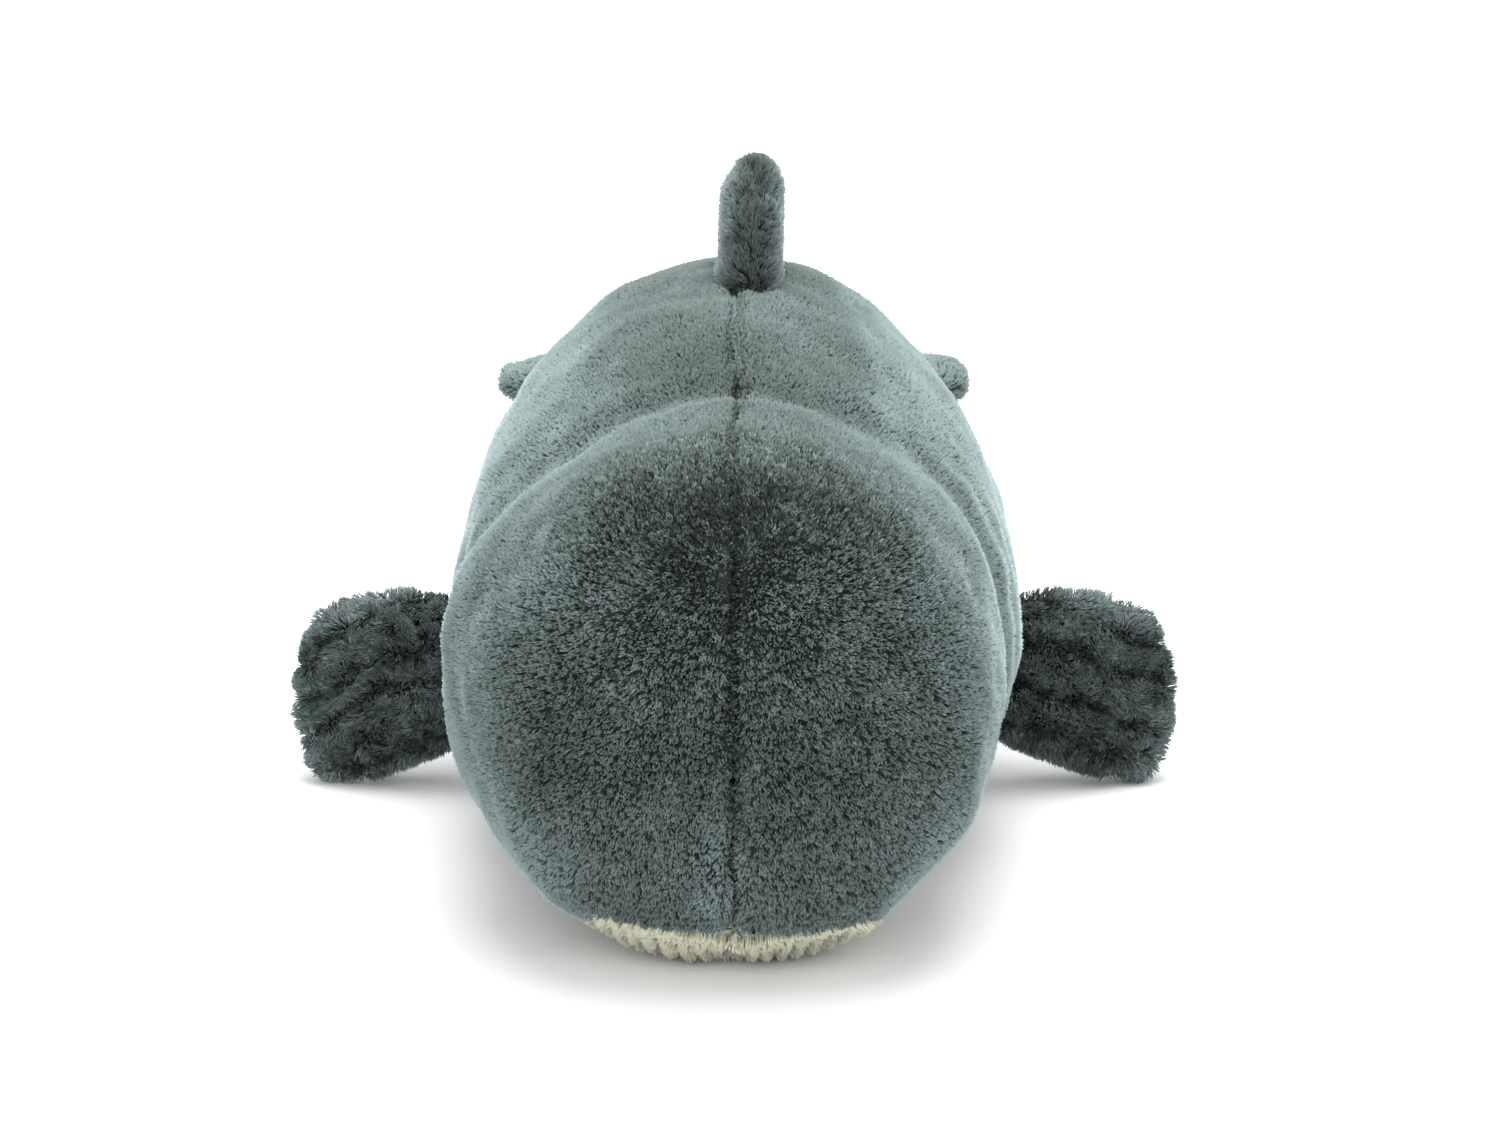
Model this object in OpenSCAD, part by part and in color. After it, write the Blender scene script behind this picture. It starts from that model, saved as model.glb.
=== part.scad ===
// Plush whale toy: a stuffed body with a blunt head, a dorsal fin, two flippers, a tail and flukes.
// Frame: +Z up, the floor at Z = 0, the head faces -Y, and +X is the toy's own left side.
// Origin: the middle of the overall footprint, on the floor.
// Lengths along the body are measured from the nose, and section() puts them in the frame.

/* [Body] */
// overall length, nose to the rear edge of the flukes, mm
overall_length = 520; // [505:540]
// greatest width of the trunk, mm
body_width = 250; // [240:262]
// greatest height of the trunk, mm
body_height = 240; // [232:250]
// width of the head in front of the neck fold, mm
head_width = 220; // [210:226]
// height of the head in front of the neck fold, mm
head_height = 213; // [207:217]
// thickness of the sewn plush fabric with its pile pressed, mm
skin_thickness = 3; // [2.5:0.25:3.5]

/* [Belly] */
// angle of the belly seam below the horizontal, degrees
belly_seam_angle = 62; // [58:66]
// distance from the nose to the front edge of the belly panel, mm
belly_front = 12; // [10:14]

/* [Tail] */
// distance from the nose to the bend of the tail, mm
tail_bend = 410; // [405:415]
// half width of the tail at its bend, mm
tail_half_width = 60; // [56:62]
// half height of the tail at its bend, mm
tail_half_height = 66; // [62:67]

/* [Flukes] */
// width over both flukes, mm
fluke_span = 248; // [220:260]
// thickness of the stuffed flukes in the middle, mm
fluke_thickness = 26; // [22:26]
// upward slope of the flukes, degrees
fluke_pitch = 7; // [5:10]

/* [Dorsal fin] */
// height of the dorsal fin above the back, mm
fin_height = 46; // [40:54]
// thickness of the stuffed dorsal fin, mm
fin_thickness = 27; // [22:28]
// length of the dorsal fin along the back, mm
fin_length = 80; // [70:84]

/* [Flippers] */
// length of a flipper along its lower edge, from its root seam, mm
flipper_span = 90; // [84:92]
// thickness of a stuffed flipper, mm
flipper_thickness = 27; // [22:28]

/* [Eyes and label] */
// diameter of an eye bead, mm
eye_diameter = 12; // [10:14]
// length of the care label outside its seam, mm
label_length = 24; // [18:26]

/* [Output] */
// sub-part to draw

/* [Hidden] */

grey = [0.27, 0.31, 0.31];
dark_grey = [0.20, 0.23, 0.23];
cream = [0.80, 0.79, 0.70];
white_fibre = [0.93, 0.93, 0.90];
cotton = [0.86, 0.85, 0.82];
pellet = [0.80, 0.83, 0.84];
black = [0.03, 0.03, 0.03];
clear_plastic = [0.85, 0.87, 0.88];
satin = [0.95, 0.95, 0.94];

nose_y = -overall_length / 2;
half = body_width / 2;
head = head_width / 2;
seam_gap = 0.1;
core_inset = skin_thickness + 1;
joint_gap = 1.2;

// ---- small helpers ------------------------------------------------------------------------

function lerp(a, b, t) = a + (b - a) * t;
function clamp(v, lo, hi) = min(max(v, lo), hi);
function smooth(t) = let (c = clamp(t, 0, 1)) c * c * (3 - 2 * c);
function unit(v) = v / norm(v);
function power(v, p) = sign(v) * pow(abs(v), p);
function mirror_x(p) = [-p[0], p[1], p[2]];

// Monotone cubic curve through the rows of a table: column c against column 0.
function row_below(tab, s, i = 0) =
  (i >= len(tab) - 2 || s < tab[i + 1][0]) ? i : row_below(tab, s, i + 1);
function secant(tab, c, i) = (tab[i + 1][c] - tab[i][c]) / (tab[i + 1][0] - tab[i][0]);
function slope(tab, c, i) =
  i == 0 ? secant(tab, c, 0) :
  i == len(tab) - 1 ? secant(tab, c, i - 1) :
  let (a = secant(tab, c, i - 1), b = secant(tab, c, i)) a * b <= 0 ? 0 : 2 * a * b / (a + b);
function along(tab, c, s) =
  let (
    i = row_below(tab, s),
    h = tab[i + 1][0] - tab[i][0],
    t = clamp((s - tab[i][0]) / h, 0, 1),
    t2 = t * t,
    t3 = t2 * t
  )
  (2 * t3 - 3 * t2 + 1) * tab[i][c] + (t3 - 2 * t2 + t) * h * slope(tab, c, i)
  + (3 * t2 - 2 * t3) * tab[i + 1][c] + (t3 - t2) * h * slope(tab, c, i + 1);

// ---- closed solids from point grids -------------------------------------------------------

// Two triangles for every cell of a grid with rows of n points, starting at point k.
function grid_faces(rows, n, k, flip) = [
  for (i = [0 : rows - 2], j = [0 : n - 2], half_cell = [0, 1])
    let (a = k + i * n + j, b = a + 1, c = a + n, d = c + 1)
    let (f = half_cell == 0 ? [a, b, d] : [a, d, c])
    flip ? [f[2], f[1], f[0]] : f
];

// The border of a grid, walked once around.
function border(rows, n) = concat(
  [for (j = [0 : n - 2]) j],
  [for (i = [0 : rows - 2]) i * n + n - 1],
  [for (j = [n - 1 : -1 : 1]) (rows - 1) * n + j],
  [for (i = [rows - 1 : -1 : 1]) i * n]
);

function rim_faces(rows, n, k, flip) =
  let (b = border(rows, n), m = len(b))
  [
    for (q = [0 : m - 1], half_cell = [0, 1])
      let (a = b[q], c = b[(q + 1) % m])
      let (f = half_cell == 0 ? [a, a + k, c] : [c, a + k, c + k])
      flip ? [f[2], f[1], f[0]] : f
  ];

// The solid between two grids of equal size; flip turns it right side out.
module between(outer, inner, flip = false) {
  rows = len(outer);
  n = len(outer[0]);
  k = rows * n;
  polyhedron(
    points = concat([for (r = outer, p = r) p], [for (r = inner, p = r) p]),
    faces = concat(
      rim_faces(rows, n, k, flip),
      grid_faces(rows, n, 0, flip),
      grid_faces(rows, n, k, !flip)
    )
  );
}

// The solid inside a stack of closed rings.
module loft(rings) {
  n = len(rings[0]);
  last = (len(rings) - 1) * n;
  polyhedron(
    points = [for (r = rings, p = r) p],
    faces = concat(
      [[for (j = [0 : n - 1]) j]],
      [
        for (i = [0 : len(rings) - 2], j = [0 : n - 1], half_cell = [0, 1])
          let (a = i * n + j, b = i * n + (j + 1) % n, c = a + n, d = b + n)
          half_cell == 0 ? [a, c, b] : [b, c, d]
      ],
      [[for (j = [n - 1 : -1 : 0]) last + j]]
    )
  );
}

// ---- body surface -------------------------------------------------------------------------

// Distance from the nose, half width, underside, top, height of the widest point,
// roundness of the upper and of the lower half of the section.
profile = [
  [0, 0.02 * head, 88, 92, 90, 2, 2],
  [3, 0.42 * head, 50, 136, 91, 2.1, 2.2],
  [8, 0.6 * head, 30, 160, 92, 2.1, 2.3],
  [18, 0.77 * head, 11, 182, 93, 2.15, 2.35],
  [35, 0.9 * head, 0, head_height - 15, 94, 2.2, 2.28],
  [60, 0.97 * head, -3, head_height - 5, 95, 2.2, 2.22],
  [105, head, -4, head_height + 1, 96, 2.2, 2.22],
  [122, 0.99 * head, -4, head_height + 3, 96, 2.15, 2.3],
  [140, 0.935 * half, -4, 0.925 * body_height, 94, 2.1, 2.4],
  [170, 0.995 * half, -4, 0.962 * body_height, 92, 2, 2.4],
  [210, half, -4, 0.992 * body_height, 92, 2, 2.4],
  [260, 0.968 * half, -4, body_height, 94, 2, 2.3],
  [310, 0.88 * half, -1, 0.967 * body_height, 98, 2, 2.2],
  [360, 0.73 * half, 13, 0.883 * body_height, 103, 2, 2.1],
  [tail_bend, tail_half_width + 2, 41, 2 * tail_half_height + 45, 109, 2, 2]
];

// A point of the body surface: s from the nose, t is the angle around the section,
// 0 at the toy's left side and 90 at the top. Below the floor the section is flattened.
function section(s, t) =
  let (
    up = sin(t) > 0,
    mid = along(profile, 4, s),
    rise = up ? along(profile, 3, s) - mid : mid - along(profile, 2, s),
    p = 2 / along(profile, up ? 5 : 6, s)
  )
  [
    along(profile, 1, s) * power(cos(t), p),
    nose_y + s,
    max(mid + rise * power(sin(t), p), 0)
  ];

// The same point moved inwards along the surface normal.
function body_normal(s, t) =
  let (
    round_it = section(s, t + 0.6) - section(s, t - 0.6),
    back = section(min(s + 0.4, tail_bend), t) - section(max(s - 0.4, 0), t)
  )
  unit(cross(back, round_it));
function body_point(s, t, inset) = section(s, t) - inset * body_normal(s, t);

// ---- trunk --------------------------------------------------------------------------------

// Stations are close together over the nose and over the neck fold.
nose_steps = 9;
trunk_steps = 22;
trunk_end = tail_bend - 23;
nose_stations = [for (i = [0 : nose_steps]) 60 * (1 - cos(90 * i / nose_steps))];
trunk_stations = [for (i = [1 : trunk_steps]) lerp(60, trunk_end, i / trunk_steps)];
stations = concat(nose_stations, trunk_stations);
side_steps = 15;
belly_steps = 6;

// The belly seam runs along a fixed angle and curls under the chin in front.
function seam_angle(s) =
  -90 + (90 - belly_seam_angle) * sqrt(clamp((s - belly_front) / 6, 0, 1));

function side_grid(list, inset, gap) = [
  for (s = list) [
    for (j = [0 : side_steps])
      body_point(s, lerp(90, seam_angle(s), j / side_steps), inset) + [gap, 0, 0]
  ]
];
function mirrored(grid) = [for (r = grid) [for (p = r) mirror_x(p)]];

module body_panel_left() {
  color(grey)
    between(side_grid(stations, 0, seam_gap), side_grid(stations, skin_thickness, seam_gap), true);
}

module body_panel_right() {
  color(grey)
    between(
      mirrored(side_grid(stations, 0, seam_gap)),
      mirrored(side_grid(stations, skin_thickness, seam_gap))
    );
}

// The belly panel fills the space between the two seams, a little inside them.
belly_stations = concat([belly_front + 1.2], [for (s = stations) if (s > belly_front + 4) s]);
function belly_grid(list, inset) = [
  for (s = list)
    let (edge = 89.4 + seam_angle(s))
    [for (j = [0 : belly_steps]) body_point(s, -90 + edge * (1 - 2 * j / belly_steps), inset)]
];

module belly_panel() {
  color(cream) between(belly_grid(belly_stations, 0), belly_grid(belly_stations, skin_thickness), true);
}

// The stuffing leaves room for the pellet pouch below it and has a round hollow for the tail.
pouch_front = 80;
pouch_length = 200;
pouch_width = 100;
pouch_height = 18;
pouch_lift = 3;
function pouch_room(s) =
  (pouch_height + pouch_lift + 2) * smooth((s - pouch_front + 22) / 20)
  * smooth((pouch_front + pouch_length + 22 - s) / 20);

ring_angles = [for (j = [0 : 43]) 90 - j * 360 / 44];
function lifted(p, low) = [p[0], p[1], max(p[2], low)];
function core_ring(s) = [
  for (t = ring_angles)
    lifted(body_point(s, t, core_inset), core_inset + pouch_room(s))
];

// Ring on a round end with its centre at the tail bend; a is the angle from its pole.
tail_z = 109;
function dome_ring(grow, a, list = ring_angles) = [
  for (t = list) [
    (tail_half_width + grow) * sin(a) * cos(t),
    nose_y + tail_bend - (tail_half_height + grow) * cos(a),
    tail_z + (tail_half_height + grow) * sin(a) * sin(t)
  ]
];

rim_angle = acos((tail_bend - trunk_end) / (tail_half_height + joint_gap));

module body_stuffing() {
  color(white_fibre) loft(concat(
    [for (s = stations) if (s < trunk_end - 1) core_ring(s)],
    [core_ring(trunk_end)],
    [for (a = [1, 0.8, 0.6, 0.4, 0.2, 0.04]) dome_ring(joint_gap, rim_angle * a)]
  ));
}

// ---- pellet pouch -------------------------------------------------------------------------

// A flat pillow lying on the belly panel; side is 1 for its top and -1 for its underside.
function pouch_point(u, v, side, inset) =
  let (
    across = pouch_width / 2 - inset,
    length = pouch_length / 2 - inset,
    thick = pouch_height / 2 - inset,
    puff = sqrt(max((1 - pow(u, 4)) * (1 - pow(v, 4)), 0))
  )
  [
    across * v * (1 - 0.12 * u * u),
    nose_y + pouch_front + pouch_length / 2 + length * u * (1 - 0.1 * v * v),
    core_inset + pouch_lift + pouch_height / 2 - 0.4 + side * (seam_gap + 0.2 + thick * puff)
  ];
pouch_steps = 8;
function pouch_grid(side, inset) = [
  for (i = [0 : pouch_steps]) [
    for (j = [0 : pouch_steps])
      pouch_point(sin(lerp(-90, 90, i / pouch_steps)), sin(lerp(-90, 90, j / pouch_steps)), side, inset)
  ]
];
pouch_cloth = 1.2;

module pouch_upper_panel() {
  color(cotton) between(pouch_grid(1, 0), pouch_grid(1, pouch_cloth), true);
}

module pouch_lower_panel() {
  color(cotton) between(pouch_grid(-1, pouch_cloth), pouch_grid(-1, 0), true);
}

module pouch_pellets() {
  color(pellet) between(pouch_grid(1, pouch_cloth + 0.3), pouch_grid(-1, pouch_cloth + 0.3), true);
}

// ---- eyes ---------------------------------------------------------------------------------

eye_station = 188;
eye_angle = -20;
eye_press = 1.3;
eye_stem_radius = 2;
eye_stem_length = 11;
washer_radius = 7;

// Puts children on the left side of the head, their Z axis pointing out of the fabric.
module at_eye() {
  p = section(eye_station, eye_angle);
  n = body_normal(eye_station, eye_angle);
  translate(p) rotate([0, acos(n[2]), atan2(n[1], n[0])]) children();
}

module eye_bead() {
  r = eye_diameter / 2;
  translate([0, 0, -eye_press]) rotate_extrude($fn = 48) polygon(concat(
    [[0, 0.2], [r - 0.6, 0.2]],
    [for (a = [0 : 9 : 90]) [r * cos(a), 0.9 + (0.75 * r - 0.7) * sin(a)]]
  ));
  translate([0, 0, -eye_stem_length]) cylinder(r = eye_stem_radius, h = eye_stem_length + 1, $fn = 32);
}

module lock_washer() {
  translate([0, 0, -skin_thickness - 3]) difference() {
    cylinder(r = washer_radius, h = 1.4, $fn = 48);
    translate([0, 0, -1]) cylinder(r = eye_stem_radius + 0.05, h = 4, $fn = 32);
  }
}

module eye_left() {
  color(black) at_eye() eye_bead();
}

module eye_right() {
  color(black) mirror([1, 0, 0]) at_eye() eye_bead();
}

module eye_washer_left() {
  color(clear_plastic) at_eye() lock_washer();
}

module eye_washer_right() {
  color(clear_plastic) mirror([1, 0, 0]) at_eye() lock_washer();
}

// ---- care label ---------------------------------------------------------------------------

label_station = 345;
label_width = 18;
label_thickness = 0.6;

module care_label() {
  p = section(label_station, seam_angle(label_station));
  color(satin)
    translate(p + [2.0, 0, -2.0])
      rotate([0, 35, 8])
        translate([0, -label_width / 2, -label_thickness])
          cube([label_length, label_width, label_thickness]);
}

// ---- stuffed pillows: fin, flippers and flukes --------------------------------------------

pillow_steps = 10;
cloth = skin_thickness;

// Parameters close to the edges get smaller steps, so the puffed edges stay round.
function spread(i, n) = sin(lerp(-90, 90, i / n));

// Dorsal fin in the plane X = 0: u from the base (-1) to the top (1), v from front to rear.
fin_front = 212;
fin_offset = 6;
fin_lean = 4;
fin_base_z = body_height + 0.5;
fin_pivot_z = fin_base_z + fin_thickness / 2;
function fin_point(u, v, side, inset) =
  let (
    h = (u + 1) / 2,
    lead = fin_front + 52 * pow(h, 1.6) + inset,
    trail = fin_front + fin_length - 6 * sin(180 * h) + 7 * h - inset,
    half_thick = fin_thickness / 2 - inset,
    foot = sqrt(clamp(1 - pow(max(1 - h * fin_height / (fin_thickness / 2), 0), 2), 0, 1)),
    tip = sqrt(max(1 - pow(h, 7), 0)),
    puff = sqrt(max(1 - pow(abs(v), 4), 0))
  )
  [
    fin_offset + fin_lean * h + side * (seam_gap + half_thick * foot * tip * puff),
    nose_y + lerp(lead, trail, (v + 1) / 2),
    fin_base_z + inset + (fin_height - 2 * inset) * h * (1 - 0.1 * pow(abs(v), 3) * h)
  ];
function fin_grid(side, inset, extra = 0) = [
  for (i = [0 : pillow_steps]) [
    for (j = [0 : pillow_steps])
      fin_point(spread(i, pillow_steps), spread(j, pillow_steps), side, inset) + [side * extra, 0, 0]
  ]
];

module dorsal_fin_panel_left() {
  color(dark_grey) between(fin_grid(1, 0), fin_grid(1, cloth), true);
}

module dorsal_fin_panel_right() {
  color(dark_grey) between(fin_grid(-1, cloth), fin_grid(-1, 0), true);
}

module dorsal_fin_stuffing() {
  color(white_fibre) between(fin_grid(1, cloth + 0.4, 0.1), fin_grid(-1, cloth + 0.4, 0.1), true);
}

// Left flipper. Its root seam is the line from root_low to root_high beside the body; the
// flipper reaches away from it along reach, and face is the normal of its front side.
root_low = [half - 14, nose_y + 229, 24];
root_high = [half + 10, nose_y + 252, 84];
tip_low = [half + 67, nose_y + 236, 4];
root_dir = unit(root_high - root_low);
root_length = norm(root_high - root_low);
reach = unit(tip_low - root_low - root_dir * ((tip_low - root_low) * root_dir));
face = unit(cross(reach, root_dir));
function flipper_point(u, v, side, inset) =
  let (
    w = (u + 1) / 2,
    t = (v + 1) / 2,
    root_radius = lerp(4.5, 9, v * v) - inset,
    out = lerp(1, 0.62, t) * flipper_span + 12 * (1 - v * v) - inset,
    corner = pow(w, 9),
    low = -1 + 17 * pow(w, 2.2) - 10 * w * (1 - w) + 7 * corner + inset,
    high = root_length + 20 * (1 - (1 - w) * (1 - w)) - 9 * corner - inset,
    half_thick = flipper_thickness / 2 - inset,
    reach_w = lerp(-root_radius, out, w),
    foot = reach_w < 0
      ? sqrt(max(root_radius * root_radius - reach_w * reach_w, 0))
      : lerp(root_radius, half_thick, smooth(reach_w / 30)),
    tip = sqrt(max(1 - pow(w, 5), 0)),
    puff = sqrt(max(1 - pow(abs(v), 3), 0))
  )
  root_low + root_dir * lerp(low, high, t) + reach * reach_w
  + face * side * (seam_gap + foot * tip * puff);
function flipper_grid(side, inset, extra = 0) = [
  for (i = [0 : pillow_steps]) [
    for (j = [0 : pillow_steps])
      flipper_point(spread(i, pillow_steps), spread(j, pillow_steps), side, inset) + face * side * extra
  ]
];

module flipper_left_front_panel() {
  color(dark_grey) between(flipper_grid(1, 0), flipper_grid(1, cloth));
}

module flipper_left_back_panel() {
  color(dark_grey) between(flipper_grid(-1, 0), flipper_grid(-1, cloth), true);
}

module flipper_left_stuffing() {
  color(white_fibre) between(flipper_grid(1, cloth + 0.4, 0.1), flipper_grid(-1, cloth + 0.4, 0.1));
}

module flipper_right_front_panel() {
  color(dark_grey) between(mirrored(flipper_grid(1, 0)), mirrored(flipper_grid(1, cloth)), true);
}

module flipper_right_back_panel() {
  color(dark_grey) between(mirrored(flipper_grid(-1, 0)), mirrored(flipper_grid(-1, cloth)));
}

module flipper_right_stuffing() {
  color(white_fibre)
    between(
      mirrored(flipper_grid(1, cloth + 0.4, 0.1)),
      mirrored(flipper_grid(-1, cloth + 0.4, 0.1)),
      true
    );
}

// ---- tail ---------------------------------------------------------------------------------

fluke_pivot = tail_bend + 60;
fluke_pivot_z = 116;
tail_end = fluke_pivot - fluke_thickness / 2 - 1;

// Behind the bend: distance from the nose, half width, underside, top, widest height.
tail_profile = [
  [tail_bend, tail_half_width, tail_z - tail_half_height, tail_z + tail_half_height, tail_z],
  [tail_bend + 15, 0.88 * tail_half_width, 56, 167, 111],
  [tail_bend + 30, 0.72 * tail_half_width, 72, 154, 113],
  [tail_end, 0.5 * tail_half_width, 99, 134, 116]
];
dome_steps = 7;
tail_steps = 5;
skin_angle = 48;

// Ring behind the bend or, for negative rows, on the round front end.
function tail_point(i, t, inset) =
  i < 0
  ? let (a = lerp(90, skin_angle, -i / 3))
    dome_ring(-inset, a, [t])[0]
  : let (
      s = lerp(tail_bend, tail_end, i / tail_steps),
      mid = along(tail_profile, 4, s),
      rise = sin(t) > 0 ? along(tail_profile, 3, s) - mid : mid - along(tail_profile, 2, s)
    )
    [
      (along(tail_profile, 1, s) - inset) * cos(t),
      nose_y + s,
      mid + (rise - inset) * sin(t)
    ];
tail_side_steps = 10;
function tail_side_grid(inset, gap) = [
  for (i = [-3 : tail_steps]) [
    for (j = [0 : tail_side_steps])
      tail_point(i, lerp(90, -belly_seam_angle, j / tail_side_steps), inset) + [gap, 0, 0]
  ]
];
function tail_belly_grid(inset) = [
  for (i = [-3 : tail_steps]) [
    for (j = [0 : 4]) tail_point(i, -90 + (89.4 - belly_seam_angle) * (1 - j / 2), inset)
  ]
];

module tail_panel_left() {
  color(grey) between(tail_side_grid(0, seam_gap), tail_side_grid(skin_thickness, seam_gap), true);
}

module tail_panel_right() {
  color(grey)
    between(mirrored(tail_side_grid(0, seam_gap)), mirrored(tail_side_grid(skin_thickness, seam_gap)));
}

module tail_belly_panel() {
  color(cream) between(tail_belly_grid(0), tail_belly_grid(skin_thickness), true);
}

module tail_stuffing() {
  color(white_fibre) loft(concat(
    [for (i = [1 : dome_steps]) dome_ring(-core_inset, lerp(2, 84, (i - 1) / (dome_steps - 1)))],
    [for (i = [0 : tail_steps]) [for (t = ring_angles) tail_point(i, t, core_inset)]]
  ));
}

// ---- flukes -------------------------------------------------------------------------------

// u runs from the right tip to the left tip, v from the front edge to the rear edge.
fluke_front = fluke_pivot - fluke_thickness / 2;
fluke_rear = overall_length;
function fluke_point(u, v, side, inset) =
  let (
    reach_x = fluke_span / 2 - inset,
    w = abs(u),
    sweep = pow(clamp((w - 0.2) / 0.8, 0, 1), 1.8),
    lead = fluke_front + 33 * sweep + inset,
    trail = fluke_rear - 14 + 14 * smooth(w / 0.6) - 16 * smooth((w - 0.65) / 0.35) - inset,
    half_thick = fluke_thickness / 2 - inset,
    tip = sqrt(max(1 - pow(w, 8), 0)),
    puff = sqrt(max(1 - v * v, 0)),
    s = lerp(lead, max(trail, lead + 0.5), (v + 1) / 2),
    rise = tan(fluke_pitch) * (s - fluke_pivot) + 2 * w * w
  )
  [
    reach_x * u,
    nose_y + s,
    fluke_pivot_z + rise + side * (seam_gap + half_thick * tip * puff * (1 - 0.12 * w * w))
  ];
fluke_steps = 20;
function fluke_grid(side, inset, extra = 0) = [
  for (i = [0 : fluke_steps]) [
    for (j = [0 : 8])
      fluke_point(spread(i, fluke_steps), spread(j, 8), side, inset) + [0, 0, side * extra]
  ]
];

module fluke_upper_panel() {
  color(grey) between(fluke_grid(1, cloth), fluke_grid(1, 0), true);
}

module fluke_lower_panel() {
  color(grey) between(fluke_grid(-1, 0), fluke_grid(-1, cloth), true);
}

module fluke_stuffing() {
  color(white_fibre) between(fluke_grid(1, cloth + 0.4, 0.1), fluke_grid(-1, cloth + 0.4, 0.1));
}

// ---- all sub-parts ------------------------------------------------------------------------

body_panel_left();
body_panel_right();
belly_panel();
body_stuffing();
pouch_upper_panel();
pouch_lower_panel();
pouch_pellets();
eye_left();
eye_right();
eye_washer_left();
eye_washer_right();
care_label();
dorsal_fin_panel_left();
dorsal_fin_panel_right();
dorsal_fin_stuffing();
flipper_left_front_panel();
flipper_left_back_panel();
flipper_left_stuffing();
flipper_right_front_panel();
flipper_right_back_panel();
flipper_right_stuffing();
tail_panel_left();
tail_panel_right();
tail_belly_panel();
tail_stuffing();
fluke_upper_panel();
fluke_lower_panel();
fluke_stuffing();
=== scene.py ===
import math

import bpy
import numpy as np
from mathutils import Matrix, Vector, kdtree


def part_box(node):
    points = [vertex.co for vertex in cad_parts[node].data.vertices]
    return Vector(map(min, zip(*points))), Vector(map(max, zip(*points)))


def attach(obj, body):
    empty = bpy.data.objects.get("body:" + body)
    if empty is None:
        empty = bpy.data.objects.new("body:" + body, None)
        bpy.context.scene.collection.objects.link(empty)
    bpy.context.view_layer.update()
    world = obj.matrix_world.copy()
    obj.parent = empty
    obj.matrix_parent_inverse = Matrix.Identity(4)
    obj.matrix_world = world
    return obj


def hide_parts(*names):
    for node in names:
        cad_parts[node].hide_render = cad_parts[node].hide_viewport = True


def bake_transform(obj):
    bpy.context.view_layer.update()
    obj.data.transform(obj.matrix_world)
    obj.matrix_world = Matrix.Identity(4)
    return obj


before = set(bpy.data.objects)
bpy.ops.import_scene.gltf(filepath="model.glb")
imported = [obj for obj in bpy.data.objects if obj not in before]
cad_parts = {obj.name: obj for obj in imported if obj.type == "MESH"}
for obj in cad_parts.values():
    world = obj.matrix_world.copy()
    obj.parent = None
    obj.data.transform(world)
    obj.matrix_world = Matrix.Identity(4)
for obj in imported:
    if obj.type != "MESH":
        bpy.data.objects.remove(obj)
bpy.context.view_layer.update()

# The toy's lengths are in millimetres, as in part.scad, and become metres in the meshes. What fk, the
# materials, the lights and the camera take is in metres.
MM = 0.001
NOSE = -260.0
BASE = 4.6      # the woven backing lies this far inside the outline that the pile makes
FLOOR = 0.4     # no pile reaches lower than this


# ---- small helpers --------------------------------------------------------------------------

def lerp(a, b, t):
    return a + (b - a) * t


def smooth(t):
    t = np.clip(t, 0, 1)
    return t * t * (3 - 2 * t)


def unit(v):
    v = np.asarray(v, float)
    return v / np.maximum(np.linalg.norm(v, axis=-1, keepdims=True), 1e-9)


def power(v, p):
    return np.sign(v) * np.abs(v) ** p


def ridge(d, w):
    """A bump of height 1 and half width w around d = 0."""
    return np.exp(-(d / w) ** 2)


def value(v, *places):
    """A setting that is either one number or a function of the place."""
    return v(*places) if callable(v) else v


def along(table, c, s):
    """Monotone cubic curve through the rows of a table: column c against column 0."""
    x, y = table[:, 0], table[:, c]
    h = np.diff(x)
    k = np.diff(y) / h
    a, b = k[:-1], k[1:]
    m = np.empty(len(x))
    m[0], m[-1] = k[0], k[-1]
    m[1:-1] = np.where(a * b <= 0, 0, 2 * a * b / np.where(a + b == 0, 1, a + b))
    i = np.clip(np.searchsorted(x, s, side="right") - 1, 0, len(x) - 2)
    t = np.clip((s - x[i]) / h[i], 0, 1)
    return ((2 * t**3 - 3 * t**2 + 1) * y[i] + (t**3 - 2 * t**2 + t) * h[i] * m[i]
            + (3 * t**2 - 2 * t**3) * y[i + 1] + (t**3 - t**2) * h[i] * m[i + 1])


def waves(p, size, seed, count=24):
    """Smooth random field with features of about that size; roughly normal, mean 0, deviation 1."""
    r = np.random.default_rng(seed)
    k = unit(r.normal(size=(count, 3))) * (2 * math.pi / size) * (0.6 + 0.8 * r.random((count, 1)))
    phase = r.random(count) * 2 * math.pi
    shape = p.shape[:-1]
    q = p.reshape(-1, 3)
    out = np.zeros(len(q))
    for a, b in zip(k, phase):
        out += np.sin(q @ a + b)
    return (out / math.sqrt(count / 2)).reshape(shape)


def sine_steps(n):
    return np.sin(np.linspace(-math.pi / 2, math.pi / 2, n + 1))


def normals(P, sign=1):
    """Outward normals of a grid of points."""
    n = np.cross(np.gradient(P, axis=0), np.gradient(P, axis=1)) * sign
    length = np.linalg.norm(n, axis=-1)
    weak = length < 1e-7
    n = unit(n)
    if weak.any():
        n[weak] = unit(P[weak] - P.reshape(-1, 3).mean(0))
    return n


def outward(P, core):
    """+1 or -1, whichever turns the grid's normals away from the points of its core."""
    return 1 if ((P - core) * normals(P)).sum() > 0 else -1


# ---- materials ------------------------------------------------------------------------------

def srgb(r, g, b):
    def one(c):
        c /= 255
        return c / 12.92 if c <= 0.04045 else ((c + 0.055) / 1.055) ** 2.4
    return (one(r), one(g), one(b), 1)


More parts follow.
